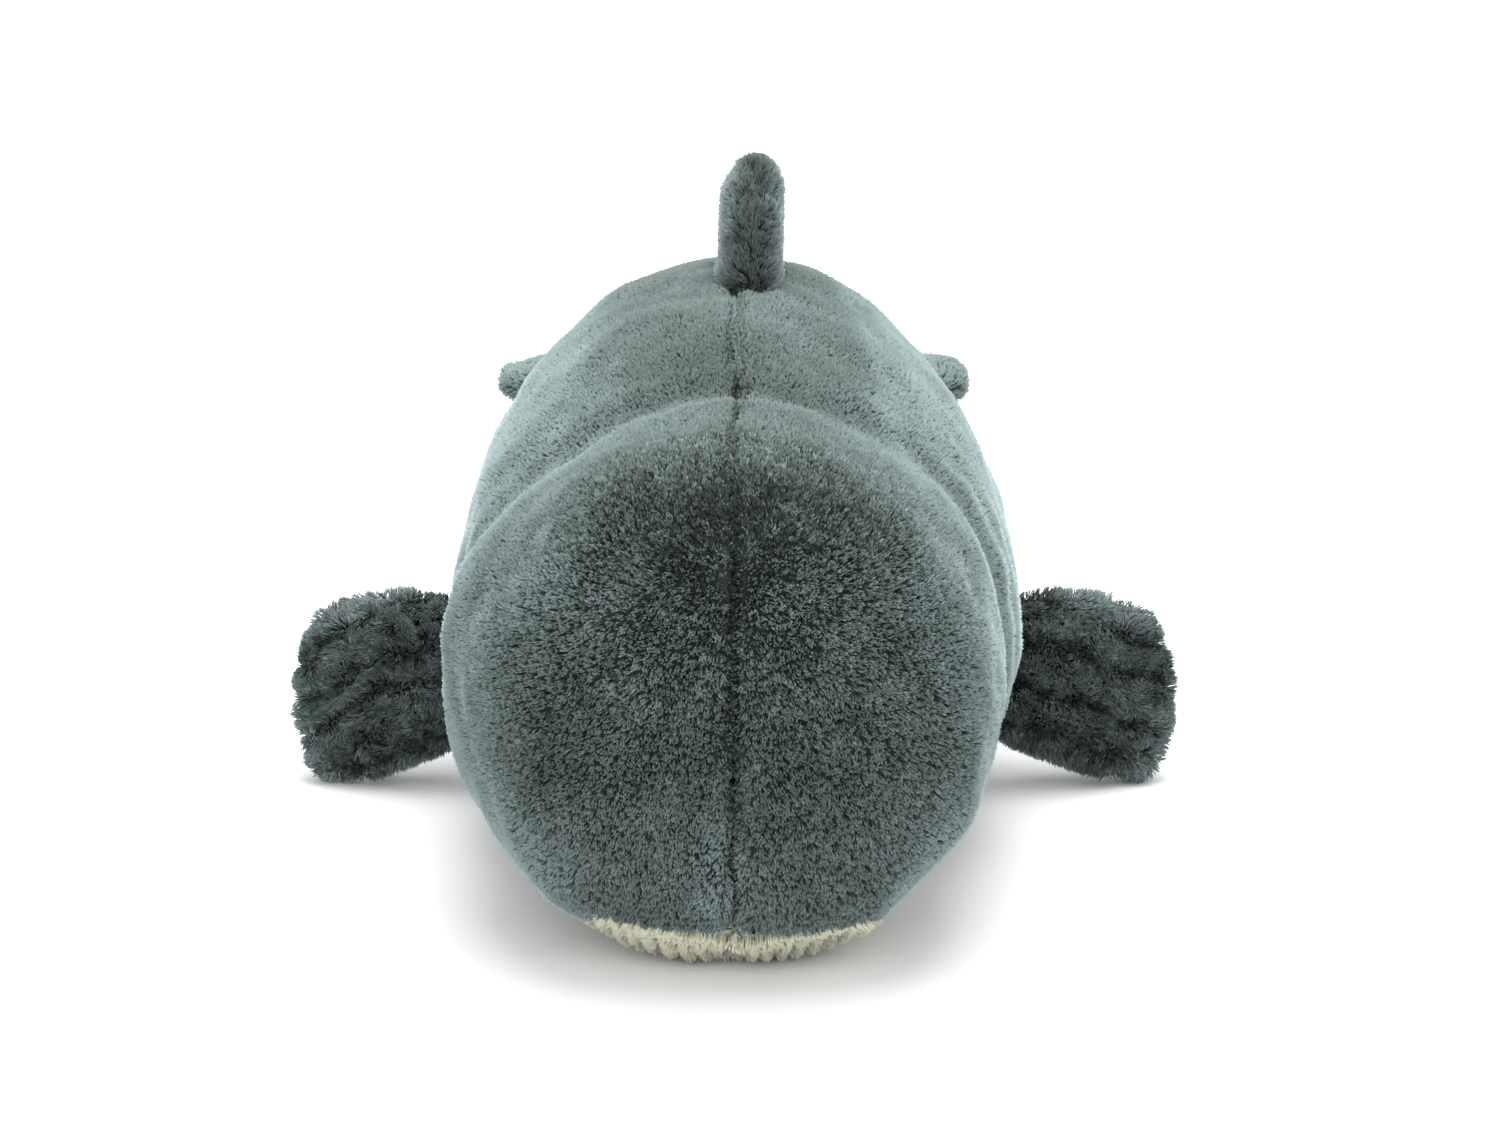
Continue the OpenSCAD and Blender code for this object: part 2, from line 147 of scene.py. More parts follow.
def new_material(name, rough, sheen=0.0, tint=(1, 1, 1, 1), sheen_rough=0.4, spec=0.3):
    m = bpy.data.materials.new(name)
    m.use_nodes = True
    b = m.node_tree.nodes["Principled BSDF"]
    b.inputs["Roughness"].default_value = rough
    b.inputs["Specular IOR Level"].default_value = spec
    b.inputs["Sheen Weight"].default_value = sheen
    b.inputs["Sheen Roughness"].default_value = sheen_rough
    b.inputs["Sheen Tint"].default_value = tint
    return m, m.node_tree.nodes, m.node_tree.links, b


def ramp_node(nodes, low, high, start=0.0, end=1.0):
    ramp = nodes.new("ShaderNodeValToRGB")
    for element, place, colour in zip(ramp.color_ramp.elements, (start, end), (low, high)):
        element.position = place
        element.color = colour
    return ramp


def bump_node(nodes, strength, distance):
    lift = nodes.new("ShaderNodeBump")
    lift.inputs["Strength"].default_value = strength
    lift.inputs["Distance"].default_value = distance
    return lift


def noise_node(nodes, scale, detail=2.0):
    noise = nodes.new("ShaderNodeTexNoise")
    noise.inputs["Scale"].default_value = scale
    noise.inputs["Detail"].default_value = detail
    return noise


def pile_shades(name, colours, sheen, tint, rough=0.85, sheen_rough=0.35):
    """One material for each shade of the yarn; the pile meshes mix them strand by strand, and the darker and
    lighter shades also carry painted shade and painted light.
    """
    out = []
    for i, c in enumerate(colours):
        m, _, _, b = new_material(f"{name}_{i}", rough, sheen, tint, sheen_rough, 0.15)
        b.inputs["Base Color"].default_value = c
        m.diffuse_color = c
        out.append(m)
    return out


def mottled(name, dark, light, size, fine, rough=0.95, sheen=0.05, bump=0.7, tint=(1, 1, 1, 1)):
    """Cloth whose colour varies between two shades in clouds, with a fine raised grain."""
    m, nodes, links, b = new_material(name, rough, sheen, tint)
    coords = nodes.new("ShaderNodeTexCoord")
    cloud = noise_node(nodes, 1 / size, 6)
    ramp = ramp_node(nodes, dark, light, 0.32, 0.68)
    grain = noise_node(nodes, 1 / fine, 4)
    lift = bump_node(nodes, bump, 0.0006)
    rough_map = nodes.new("ShaderNodeMapRange")
    rough_map.inputs["To Min"].default_value = max(rough - 0.1, 0)
    rough_map.inputs["To Max"].default_value = min(rough + 0.08, 1)
    links.new(coords.outputs["Object"], cloud.inputs["Vector"])
    links.new(coords.outputs["Object"], grain.inputs["Vector"])
    links.new(cloud.outputs["Fac"], ramp.inputs["Fac"])
    links.new(ramp.outputs["Color"], b.inputs["Base Color"])
    links.new(grain.outputs["Fac"], lift.inputs["Height"])
    links.new(lift.outputs["Normal"], b.inputs["Normal"])
    links.new(grain.outputs["Fac"], rough_map.inputs["Value"])
    links.new(rough_map.outputs["Result"], b.inputs["Roughness"])
    return m


WAVE_PERIOD = 0.314     # of a wave texture at scale 1, in metres


def woven(name, dark, light, pitch, rough=0.8, sheen=0.1, bump=0.5, axes=("X", "Y")):
    """Plain weave: two sets of threads, one across the other, with painted shade between the threads."""
    m, nodes, links, b = new_material(name, rough, sheen)
    coords = nodes.new("ShaderNodeTexCoord")
    threads = []
    for axis in axes:
        w = nodes.new("ShaderNodeTexWave")
        w.wave_type = "BANDS"
        w.bands_direction = axis
        w.inputs["Scale"].default_value = WAVE_PERIOD / pitch
        w.inputs["Distortion"].default_value = 0.4
        links.new(coords.outputs["Object"], w.inputs["Vector"])
        threads.append(w)
    both = nodes.new("ShaderNodeMath")
    both.operation = "MULTIPLY"
    links.new(threads[0].outputs["Fac"], both.inputs[0])
    links.new(threads[1].outputs["Fac"], both.inputs[1])
    ramp = ramp_node(nodes, dark, light, end=0.6)
    lift = bump_node(nodes, bump, 0.0002)
    links.new(both.outputs["Value"], ramp.inputs["Fac"])
    links.new(ramp.outputs["Color"], b.inputs["Base Color"])
    links.new(both.outputs["Value"], lift.inputs["Height"])
    links.new(lift.outputs["Normal"], b.inputs["Normal"])
    return m


TINT = srgb(214, 234, 234)
GREY_SHADES = pile_shades("grey_pile", [
    srgb(46, 53, 50), srgb(62, 72, 68), srgb(75, 86, 82), srgb(87, 99, 95), srgb(99, 112, 109),
    srgb(111, 126, 124), srgb(124, 140, 139), srgb(137, 154, 153)], 1.0, TINT)
LONG_SHADES = pile_shades("long_grey_pile", [
    srgb(40, 46, 44), srgb(55, 63, 61), srgb(66, 75, 73), srgb(77, 87, 85), srgb(89, 100, 98),
    srgb(102, 114, 113), srgb(116, 129, 128), srgb(131, 145, 144)], 0.7, TINT)
CREAM_SHADES = pile_shades("cream_pile", [
    srgb(203, 203, 176), srgb(221, 221, 195), srgb(231, 231, 207), srgb(239, 239, 218), srgb(246, 246, 228)],
    0.5, srgb(255, 254, 240))

M_GREY = mottled("grey_backing", srgb(46, 54, 52), srgb(68, 78, 76), 0.012, 0.0011, tint=TINT)
M_LONG = mottled("long_grey_backing", srgb(26, 31, 29), srgb(46, 53, 51), 0.009, 0.0011, tint=TINT)
M_CREAM = mottled("cream_backing", srgb(186, 183, 163), srgb(220, 218, 200), 0.01, 0.001, 0.95, 0.15, 0.6)
M_FIBRE = mottled("fibre_fill", srgb(214, 213, 206), srgb(246, 246, 242), 0.02, 0.0016, 1.0, 0.5, 0.9)
M_COTTON = woven("pouch_cotton", srgb(186, 182, 170), srgb(232, 229, 220), 0.0007)
M_SATIN = woven("label_satin", srgb(206, 205, 200), srgb(246, 246, 243), 0.0004, 0.35, 0.2, 0.25, ("X", "Z"))


def bead_material():
    """Plastic pellets seen as round cells, each higher in its middle, with painted shade darkening it
    towards its edge.
    """
    m, nodes, links, b = new_material("pellets", 0.45, spec=0.5)
    coords = nodes.new("ShaderNodeTexCoord")
    cells = nodes.new("ShaderNodeTexVoronoi")
    cells.inputs["Scale"].default_value = 1 / 0.0035
    ramp = ramp_node(nodes, srgb(232, 236, 238), srgb(120, 128, 132), end=0.7)
    lift = bump_node(nodes, 1.0, 0.0012)
    lift.invert = True
    links.new(coords.outputs["Object"], cells.inputs["Vector"])
    links.new(cells.outputs["Distance"], ramp.inputs["Fac"])
    links.new(ramp.outputs["Color"], b.inputs["Base Color"])
    links.new(cells.outputs["Distance"], lift.inputs["Height"])
    links.new(lift.outputs["Normal"], b.inputs["Normal"])
    return m


def moulded(name, colour, rough, coat=0.0):
    """Moulded plastic: a faint mottle in the colour and small swirls in the gloss."""
    m, nodes, links, b = new_material(name, rough, spec=0.35)
    b.inputs["Coat Weight"].default_value = coat
    b.inputs["Coat Roughness"].default_value = 0.04
    coords = nodes.new("ShaderNodeTexCoord")
    cloud = noise_node(nodes, 400)
    ramp = ramp_node(nodes, colour, tuple(min(c * 1.25 + 0.004, 1) for c in colour[:3]) + (1,))
    gloss = nodes.new("ShaderNodeMapRange")
    gloss.inputs["To Min"].default_value = rough * 0.8
    gloss.inputs["To Max"].default_value = rough * 1.5
    links.new(coords.outputs["Object"], cloud.inputs["Vector"])
    links.new(cloud.outputs["Fac"], ramp.inputs["Fac"])
    links.new(ramp.outputs["Color"], b.inputs["Base Color"])
    links.new(cloud.outputs["Fac"], gloss.inputs["Value"])
    links.new(gloss.outputs["Result"], b.inputs["Roughness"])
    return m


M_PELLETS = bead_material()
M_EYE = moulded("eye_black", srgb(9, 8, 8), 0.1, 0.15)
M_WASHER = moulded("washer_plastic", srgb(206, 210, 212), 0.35)


# ---- meshes ---------------------------------------------------------------------------------

def mesh_object(name, verts, faces, mats, index=None, vertex_normals=None):
    """A smooth-shaded object from arrays; faces are triangles (n, 3) or quads (n, 4)."""
    faces = np.asarray(faces, np.int32)
    me = bpy.data.meshes.new(name)
    me.vertices.add(len(verts))
    me.vertices.foreach_set("co", (np.asarray(verts) * MM).astype(np.float32).ravel())
    me.loops.add(faces.size)
    me.loops.foreach_set("vertex_index", faces.ravel())
    me.polygons.add(len(faces))
    me.polygons.foreach_set("loop_start", np.arange(0, faces.size, faces.shape[1], dtype=np.int32))
    me.polygons.foreach_set("use_smooth", np.ones(len(faces), bool))
    for m in mats:
        me.materials.append(m)
    if index is not None:
        me.polygons.foreach_set("material_index", np.asarray(index, np.int32))
    me.update(calc_edges=True)
    if vertex_normals is not None:
        me.normals_split_custom_set_from_vertices(np.asarray(vertex_normals, np.float32))
    ob = bpy.data.objects.new(name, me)
    bpy.context.scene.collection.objects.link(ob)
    return ob


def grid_quads(rows, cols, sign, start=0):
    i, j = np.meshgrid(np.arange(rows - 1), np.arange(cols - 1), indexing="ij")
    a = (start + i * cols + j).ravel()
    q = np.stack([a, a + cols, a + cols + 1, a + 1], 1)
    return q if sign > 0 else q[:, ::-1]


def grid_object(name, P, sign, material):
    return mesh_object(name, P.reshape(-1, 3), grid_quads(*P.shape[:2], sign), [material])


def closed_object(name, grids, signs, mats):
    """Several grids with shared borders, welded into one closed mesh."""
    verts, quads, k = [], [], 0
    for P, sign in zip(grids, signs):
        verts.append(P.reshape(-1, 3))
        quads.append(grid_quads(*P.shape[:2], sign, k))
        k += P.shape[0] * P.shape[1]
    ob = mesh_object(name, np.concatenate(verts), np.concatenate(quads), mats)
    weld(ob, 0.02)
    return ob


def weld(ob, gap):
    m = ob.modifiers.new("weld", "WELD")
    m.merge_threshold = gap * MM
    me = bpy.data.meshes.new_from_object(ob.evaluated_get(bpy.context.evaluated_depsgraph_get()))
    ob.modifiers.clear()
    old, ob.data = ob.data, me
    bpy.data.meshes.remove(old)


# ---- inflation ------------------------------------------------------------------------------

class Field:
    """How a cloth moved in its simulation, read anywhere on it as the mean of its nearest points."""

    NEAREST = 7
    NEAR = 4.0      # square of the distance within which the points count about the same

    def __init__(self, points, moves):
        self.moves = moves
        self.tree = kdtree.KDTree(len(points))
        for i, p in enumerate(points):
            self.tree.insert(p, i)
        self.tree.balance()

    def at(self, P):
        q = P.reshape(-1, 3)
        out = np.zeros((len(q), 3))
        for i, p in enumerate(q):
            found = self.tree.find_n(p, self.NEAREST)
            w = np.array([1 / (d * d + self.NEAR) for _, _, d in found])
            out[i] = (self.moves[[k for _, k, _ in found]] * w[:, None]).sum(0) / w.sum()
        return out.reshape(P.shape)


def swell(name, grids, signs, voxel, pressure, cap, frames=20):
    """Blows up a closed copy of a skin as cloth and returns how far each place of it moved."""
    ob = closed_object(name, grids, signs, [])
    m = ob.modifiers.new("remesh", "REMESH")
    m.mode = "VOXEL"
    m.voxel_size = voxel * MM
    me = bpy.data.meshes.new_from_object(ob.evaluated_get(bpy.context.evaluated_depsgraph_get()))
    ob.modifiers.clear()
    ob.data = me
    rest = np.empty(len(me.vertices) * 3, np.float32)
    me.vertices.foreach_get("co", rest)
    normal = np.empty(len(me.vertices) * 3, np.float32)
    me.vertices.foreach_get("normal", normal)
    cloth = ob.modifiers.new("cloth", "CLOTH")
    s = cloth.settings
    s.use_pressure = True
    s.uniform_pressure_force = pressure
    s.effector_weights.gravity = 0
    s.quality = 5
    cloth.point_cache.frame_start = 1
    cloth.point_cache.frame_end = frames
    scene = bpy.context.scene
    for f in range(1, frames + 1):
        scene.frame_set(f)
    done = bpy.data.meshes.new_from_object(ob.evaluated_get(bpy.context.evaluated_depsgraph_get()))
    moved = np.empty(len(done.vertices) * 3, np.float32)
    done.vertices.foreach_get("co", moved)
    scene.frame_set(1)
    bpy.data.objects.remove(ob)
    rest, moved, normal = (a.reshape(-1, 3).astype(float) for a in (rest, moved, normal))
    move = (moved - rest) / MM
    # the even part of the swelling is taken out, so the toy keeps its size
    move -= normal * np.median((move * normal).sum(1))
    length = np.linalg.norm(move, axis=1, keepdims=True)
    move *= np.minimum(1, cap / np.maximum(length, 1e-6))
    print("inflated", name, len(rest), "points, mean move %.2f mm" % length.mean())
    return Field(rest / MM, move)


def moved(P, field):
    return P if field is None else P + field.at(P)


# ---- pile -----------------------------------------------------------------------------------

def scatter(P, N, keep, spacing, rng):
    """Random places on a grid, one for each square of that spacing where keep is 1, and their normals."""
    a, b, c, d = P[:-1, :-1], P[1:, :-1], P[:-1, 1:], P[1:, 1:]
    area = 0.5 * (np.linalg.norm(np.cross(b - a, c - a), axis=-1)
                  + np.linalg.norm(np.cross(b - d, c - d), axis=-1))
    area = area * 0.25 * (keep[:-1, :-1] + keep[1:, :-1] + keep[:-1, 1:] + keep[1:, 1:])
    total = np.cumsum(area.ravel())
    n = max(int(total[-1] / spacing**2), 1)
    cell = np.searchsorted(total, (np.arange(n) + rng.random(n)) / n * total[-1])
    cell = np.minimum(cell, area.size - 1)
    i, j = np.divmod(cell, area.shape[1])
    f, g = rng.random((2, n, 1))

    def mix(A):
        return ((A[i, j] * (1 - f) + A[i + 1, j] * f) * (1 - g)
                + (A[i, j + 1] * (1 - f) + A[i + 1, j + 1] * f) * g)
    return mix(P), unit(mix(N))


def nearest(points, centres):
    tree = kdtree.KDTree(len(centres))
    for i, p in enumerate(centres):
        tree.insert(p, i)
    tree.balance()
    return np.array([tree.find(p)[1] for p in points])


def pile(name, grid, comb, length, spacing, clump, lean, pull, shades, seed, radius, bend=False,
         tone=0.0, soft=0.9, spread=0.35, vary=1.0, divide=None, dark=2):
    """Tufted pile as real strands on a grid, which is (points, normals, density). comb gives the
    direction that the pile lies in, and the strands of one clump lean their tips together. length,
    tone (lighter or darker, which carries painted light and shade) and vary (how uneven the shades
    are) may differ from place to place. divide moves the two sides of a seam apart, and a strand is
    painted darker by dark shades at its foot, as shade between the strands."""
    rng = np.random.default_rng(seed)
    roots, ups = scatter(*grid, spacing, rng)
    centres, cups = scatter(*grid, clump, rng)
    n = len(roots)
    # a clump never reaches across a seam
    owner = (nearest(roots, centres) if divide is None
             else nearest(roots + divide(roots), centres + divide(centres)))

    def laid(p, u, jitter):
        c = comb(p, u)
        c = unit(c - u * (c * u).sum(-1, keepdims=True))
        side = np.cross(u, c)
        turn = (jitter + 0.35 * waves(p, 26, 5))[:, None]
        return c * np.cos(turn) + side * np.sin(turn)

    def leans(p):
        angle = lean + 0.16 * rng.normal(size=len(p)) + 0.14 * waves(p, 26, 3)
        return np.clip(angle, 0.05, 1.3)[:, None]

    # ctip is where the tip of a strand in the middle of the clump would be
    size = value(length, roots) + np.zeros(n)
    csize = value(length, centres) + np.zeros(len(centres))
    cl, sl = leans(centres), leans(roots)
    cside = laid(centres, cups, spread * rng.normal(size=len(centres)))
    ctip = centres + csize[:, None] * (cups * np.cos(cl) + cside * np.sin(cl))
    side = laid(roots, ups, spread * rng.normal(size=n))
    size = size * (0.9 + 0.16 * rng.random(n))
    tip = roots + size[:, None] * (ups * np.cos(sl) + side * np.sin(sl))
    pulled = pull * (0.6 + 0.5 * rng.random((n, 1)))
    tip = lerp(tip, ctip[owner] + 0.25 * clump * rng.normal(size=(n, 3)), pulled)
    axis = unit(tip - roots)
    e1 = unit(np.cross(axis, unit(rng.normal(size=(n, 3)))))
    e2 = np.cross(axis, e1)
    r = radius * (0.75 + 0.5 * rng.random((n, 1)))
    radial = [e1 * math.cos(a) + e2 * math.sin(a) for a in (0, 2 * math.pi / 3, 4 * math.pi / 3)]
    shading = [unit((1 - soft) * q + soft * ups) for q in radial]
    foot = roots - ups * 0.6
    crown = lerp(roots, tip, 0.74)
    # a strand is a spindle with three sides, widest at its crown; its levels are (middle, width)
    levels = [(crown, 1.0)]
    if bend:
        # a long strand rises first and then falls over towards its tip
        waist = lerp(lerp(roots, tip, 0.42), roots + ups * size[:, None] * 0.48, 0.55)
        crown = lerp(crown, roots + ups * size[:, None] * 0.66, 0.25)
        levels = [(waist, 0.75), (crown, 1.0)]
    stack = np.stack([foot] + [c + q * r * w for c, w in levels for q in radial] + [tip], 1)
    nrm = np.stack([ups] + shading * len(levels) + [ups], 1)
    pairs = [(a, (a + 1) % 3) for a in range(3)]
    last = 3 * len(levels) - 2
    tri = [(1 + b, 1 + a, 0) for a, b in pairs]
    if bend:
        tri += [(1 + a, 1 + b, 4 + b) for a, b in pairs] + [(1 + a, 4 + b, 4 + a) for a, b in pairs]
    tri += [(last + a, last + b, last + 3) for a, b in pairs]
    # painted shade: the faces at a strand's foot take darker shades, its middle faces one shade darker
    painted_foot_shade = [-dark] * 3 + [-1] * 6 * (len(levels) - 1) + [0] * 3
    per = stack.shape[1]
    verts = stack.reshape(-1, 3)
    verts[:, 2] = np.maximum(verts[:, 2], FLOOR)
    tris = (np.array(tri)[None] + (np.arange(n) * per)[:, None, None]).reshape(-1, 3)
    # shade: clouds, clumps and single strands all vary, and painted shade darkens a strand towards its foot
    random = 0.3 * rng.normal(size=len(centres))[owner] + 0.4 * rng.normal(size=n)
    v = 0.12 * waves(roots, 60, 7) + value(vary, roots) * random + value(tone, roots, ups)
    tips = len(shades) - 1
    pick = 1 + np.clip(np.floor((v + 2.0) / 4.0 * tips), -1, tips - 1).astype(int)
    index = np.maximum(pick[:, None] + np.array(painted_foot_shade)[None], 0).ravel()
    return mesh_object(name, verts, tris, shades, index, nrm.reshape(-1, 3))


# ---- body surface ---------------------------------------------------------------------------

HEAD, HALF, HEIGHT = 110.0, 125.0, 240.0    # half width of the head, half width and height of the trunk
# Distance from the nose, half width, lowest point, highest point, height of the widest point, and the
# exponents of the superellipse above and below it.
PROFILE = np.array([
    [0, 0.02 * HEAD, 88, 92, 90, 2, 2],
    [3, 0.42 * HEAD, 50, 136, 91, 2.1, 2.2],
    [8, 0.6 * HEAD, 30, 160, 92, 2.1, 2.3],
    [18, 0.77 * HEAD, 11, 182, 93, 2.15, 2.35],
    [35, 0.9 * HEAD, 0, 198, 94, 2.2, 2.28],
    [60, 0.97 * HEAD, -3, 208, 95, 2.2, 2.22],
    [105, HEAD, -4, 214, 96, 2.2, 2.22],
    [122, 0.99 * HEAD, -4, 216, 96, 2.15, 2.3],
    [140, 0.935 * HALF, -4, 0.925 * HEIGHT, 94, 2.1, 2.4],
    [170, 0.995 * HALF, -4, 0.962 * HEIGHT, 92, 2, 2.4],
    [210, HALF, -4, 0.992 * HEIGHT, 92, 2, 2.4],
    [260, 0.968 * HALF, -4, HEIGHT, 94, 2, 2.3],
    [310, 0.88 * HALF, -1, 0.967 * HEIGHT, 98, 2, 2.2],
    [360, 0.73 * HALF, 13, 0.883 * HEIGHT, 103, 2, 2.1],
    [410, 61, 42, 176, 109, 2, 2],
    [425, 53, 56, 167, 111, 2, 2],
    [440, 43.5, 72, 154, 113, 2, 2],
    [456, 31, 97, 136, 116, 2, 2],
    [466, 27, 104, 130, 117, 2, 2]], float)


def section(s, t):
    """Body outline: s from the nose, t the angle around, 0 at the toy's left and 90 at the top."""
    s, t = np.broadcast_arrays(np.asarray(s, float), np.radians(t))
    up = np.sin(t) > 0
    mid = along(PROFILE, 4, s)
    rise = np.where(up, along(PROFILE, 3, s) - mid, mid - along(PROFILE, 2, s))
    p = 2 / np.where(up, along(PROFILE, 5, s), along(PROFILE, 6, s))
    x = along(PROFILE, 1, s) * power(np.cos(t), p)
    z = np.maximum(mid + rise * power(np.sin(t), p), 0)
    return np.stack([x, NOSE + s, z], -1)


def outline_normal(s, t):
    s = np.asarray(s, float)
    around = section(s, t + 0.6) - section(s, t - 0.6)
    back = section(np.minimum(s + 0.4, PROFILE[-1, 0]), t) - section(np.maximum(s - 0.4, 0), t)
    return unit(np.cross(back, around))


def fold_depth(s, t):
    """The neck fold and the smaller folds beside it: how far the cloth sinks in (or, negative, swells)."""
    from_top = np.abs((t + 180) % 360 - 180 - 90)
    from_top = np.where(from_top > 180, 360 - from_top, from_top)
    left = np.cos(np.radians(t)) > 0
    out = np.zeros(np.broadcast(s, t).shape)

    def fold(at, width, depth, lo, hi, side=None, slant=0.0):
        """A fold across the body, from lo to hi degrees from its top. side is True for one on the left
        half alone, and False for one on the right half alone."""
        nonlocal out
        fade = smooth((from_top - lo) / 22) * smooth((hi - from_top) / 22)
        if side is not None:
            fade = fade * np.where(left == side, 1, 0)
        d = s - (at + slant * (from_top - 60))
        out = out + fade * depth * (ridge(d, width) - 0.42 * ridge(d - 2.1 * width, width * 1.1)
                                    - 0.3 * ridge(d + 2.1 * width, width * 1.1))
    fold(130 + 2.5 * np.sin(np.radians(t) * 2 + 0.6), 6.0, 0.9, -40, 60)
    fold(130, 6.0, 1.0, 34, 128, True)
    fold(130, 7.0, 0.8, 34, 84, False)
    fold(148, 6.0, 0.8, 34, 112, True, -0.05)
    fold(165, 6.0, 0.8, 48, 104, True, 0.05)
    fold(114, 5.0, 0.9, 66, 116, True, 0.06)
    fold(148, 6.0, 0.6, 48, 98, False, 0.04)
    fold(108, 5.0, 1.5, 74, 116, False, -0.05)
    # the body tapers towards the floor, more on the toy's left
    out = out + (np.where(left, 7.0, 3.0) * smooth((from_top - 108) / 24) * smooth((164 - from_top) / 34)
                 * smooth((s - 4) / 30) * smooth((340 - s) / 70))
    # the head is pushed a little to the toy's right, where it hides the fold
    out = out - (np.where(left, 0, 9.5) * ridge(s - 98, 36)
                 * smooth((from_top - 45) / 35) * smooth((162 - from_top) / 44))
    out = out + (np.where(left, 0, 3.0) * ridge(s - 205, 60)
                 * smooth((from_top - 60) / 30) * smooth((165 - from_top) / 30))
    # the head is a little fuller over the seam to the belly
    out = out - (np.where(left, 2.5, 4.5) * ridge(from_top - 129, 16)
                 * smooth((s - 6) / 24) * smooth((130 - s) / 40))
    # a soft crease where the tail bends
    fold(386, 5, 2.2, -40, 150)
    return out


def seam_angle(s):
    return -90 + 36 * np.sqrt(np.clip((s - 12) / 6, 0, 1))


def seam_offset(P):
    """Distance to the side of the seam over the back and down the face, which jogs behind the head."""
    jog = 2.4 * ridge(P[..., 1] - NOSE - 112, 16) * smooth((P[..., 2] - 170) / 30)
    wander = 0.9 * waves(P * [0, 1, 1], 60, 13) * smooth((P[..., 1] - NOSE + 6) / 14)
    return P[..., 0] - jog - wander


EYE_STATION, EYE_ANGLE = 188, -20.0
EYES = np.array([section(EYE_STATION, EYE_ANGLE) * [side, 1, 1] for side in (1, -1)])
EYE_HOLD = 2.8      # depth of the backing under an eye; its washer lies below that
FIN_BASE = np.array([6.0, NOSE + 252, 236])         # middle of the dorsal fin's foot
FLIPPER_BASE = np.array([123.0, NOSE + 240, 54])    # middle of the left flipper's root seam


def eye_distance(P):
    return np.minimum.reduce([np.linalg.norm(P - e, axis=-1) for e in EYES])


def body_point(s, t, inset, field=None, detail=True):
    """The cloth's backing at a place of the outline. With detail, it's blown up as the field says and
    drawn in at its folds and seams."""
    P = section(s, t)
    N = outline_normal(s, t)
    Q = P - inset * N
    if not detail:
        return Q
    Q = moved(Q, field)
    sink = fold_depth(s, t)
    sink = sink + 0.6 * waves(P, 75, 11) + 0.35 * waves(P, 28, 12)
    upper = np.where((np.sin(np.radians(t)) > 0) | (s < 16), 1.0, 0.0)
    line = seam_offset(P)
    sink = sink + upper * (4.5 * ridge(line, 1.5) - 0.5 * ridge(np.abs(line) - 8, 5))
    # the cloth gathers a little around the base of the dorsal fin
    base = (P - FIN_BASE)[..., :2]
    reach = np.linalg.norm(base / [1.0, 2.4], axis=-1)
    around = np.arctan2(base[..., 1], base[..., 0] * 2.4)
    top = smooth((P[..., 2] - 200) / 20)
    sink = sink + top * smooth((34 - reach) / 24) * (0.8 * np.sin(9 * around + 1.0) + 1.0)
    # and around each flipper
    for side in (1, -1):
        d = np.linalg.norm((P - FLIPPER_BASE * [side, 1, 1]) / [1, 1, 2.4], axis=-1)
        sink = sink + 2.2 * ridge(d, 14)
    Q = Q - sink[..., None] * N
    # an eye's stem and washer hold the cloth close under the bead
    held = smooth((36 - eye_distance(P)) / 28)[..., None]
    Q = lerp(Q, P - EYE_HOLD * N, held)
    low = np.where(P[..., 2] < 12, inset, 0.0)
    Q[..., 2] = np.maximum(Q[..., 2], np.maximum(low, 1.0))
    return Q


END = 466.0     # the body's outline ends here, between the flukes
STATIONS = np.concatenate([
    60 * (1 - np.cos(np.linspace(0, math.pi / 2, 38)))[:-1], np.arange(60, 110, 2.4),
    np.arange(110, 172, 1.7), np.arange(172, 376, 2.8), np.arange(376, END, 2.4), [END]])


def side_grid(stations, cols, inset, mirror, field):
    j = np.linspace(0, 1, cols) ** 1.25
    s = stations[:, None]
    t = lerp(90.0, seam_angle(s), j[None])
    if mirror:
        t = 180 - t
    return body_point(s, t, inset, field)


RIB = 6.0               # from one rib of the belly cloth to the next
BELLY_START = 12.2      # the belly cloth begins this far from the nose


def belly_grid(stations, cols, inset, field):
    """The grid, and for each of its points how far across it lies, from -1 to 1."""
    s = stations[stations > BELLY_START][:, None]
    edge = 90 + seam_angle(s)
    q = np.linspace(-1, 1, cols)[None]
    P = body_point(s, -90 + edge * q, inset, field)
    return P, np.broadcast_to(q, P.shape[:2])


def rib_wave(P):
    """Ribs run along the toy and fan out a little over the chin: 1 on a rib, 0 between two."""
    chin = smooth((60 - (P[..., 1] - NOSE)) / 60)
    x = P[..., 0] * (1 - 0.10 * chin) + 0.8 * waves(P, 50, 21)
    return 0.5 + 0.5 * np.cos(2 * math.pi * x / RIB)


def rings(stations, cols, inset, lift=None):
    """Closed stack of rings in the body, with its two ends drawn together."""
    t = np.linspace(90, 450, cols + 1)[None]
    P = body_point(stations[:, None], t, inset, detail=False)
    if lift is not None:
        P[..., 2] = np.maximum(P[..., 2], lift(stations)[:, None])
    first, last = P[:1].mean(1, keepdims=True), P[-1:].mean(1, keepdims=True)
    return np.concatenate([lerp(first, P[:1], k) for k in (0.001, 0.5)] + [P]
                          + [lerp(last, P[-1:], k) for k in (0.5, 0.001)])


# Blow up a coarse copy of the whole body, tail included.
body_field = swell("body_cloth", [rings(STATIONS[::3], 60, BASE)], [1], 7.0, 3.0, 4.0)

left = side_grid(STATIONS, 104, BASE, False, body_field)
right = side_grid(STATIONS, 104, BASE, True, body_field)
belly, belly_q = belly_grid(STATIONS, 81, BASE, body_field)


MIDDLE = 100            # height of the body's middle line


def middle_line(P):
    """The point of the body's middle line beside each point of a grid."""
    return P * [0, 1, 0] + [0, 0, MIDDLE]


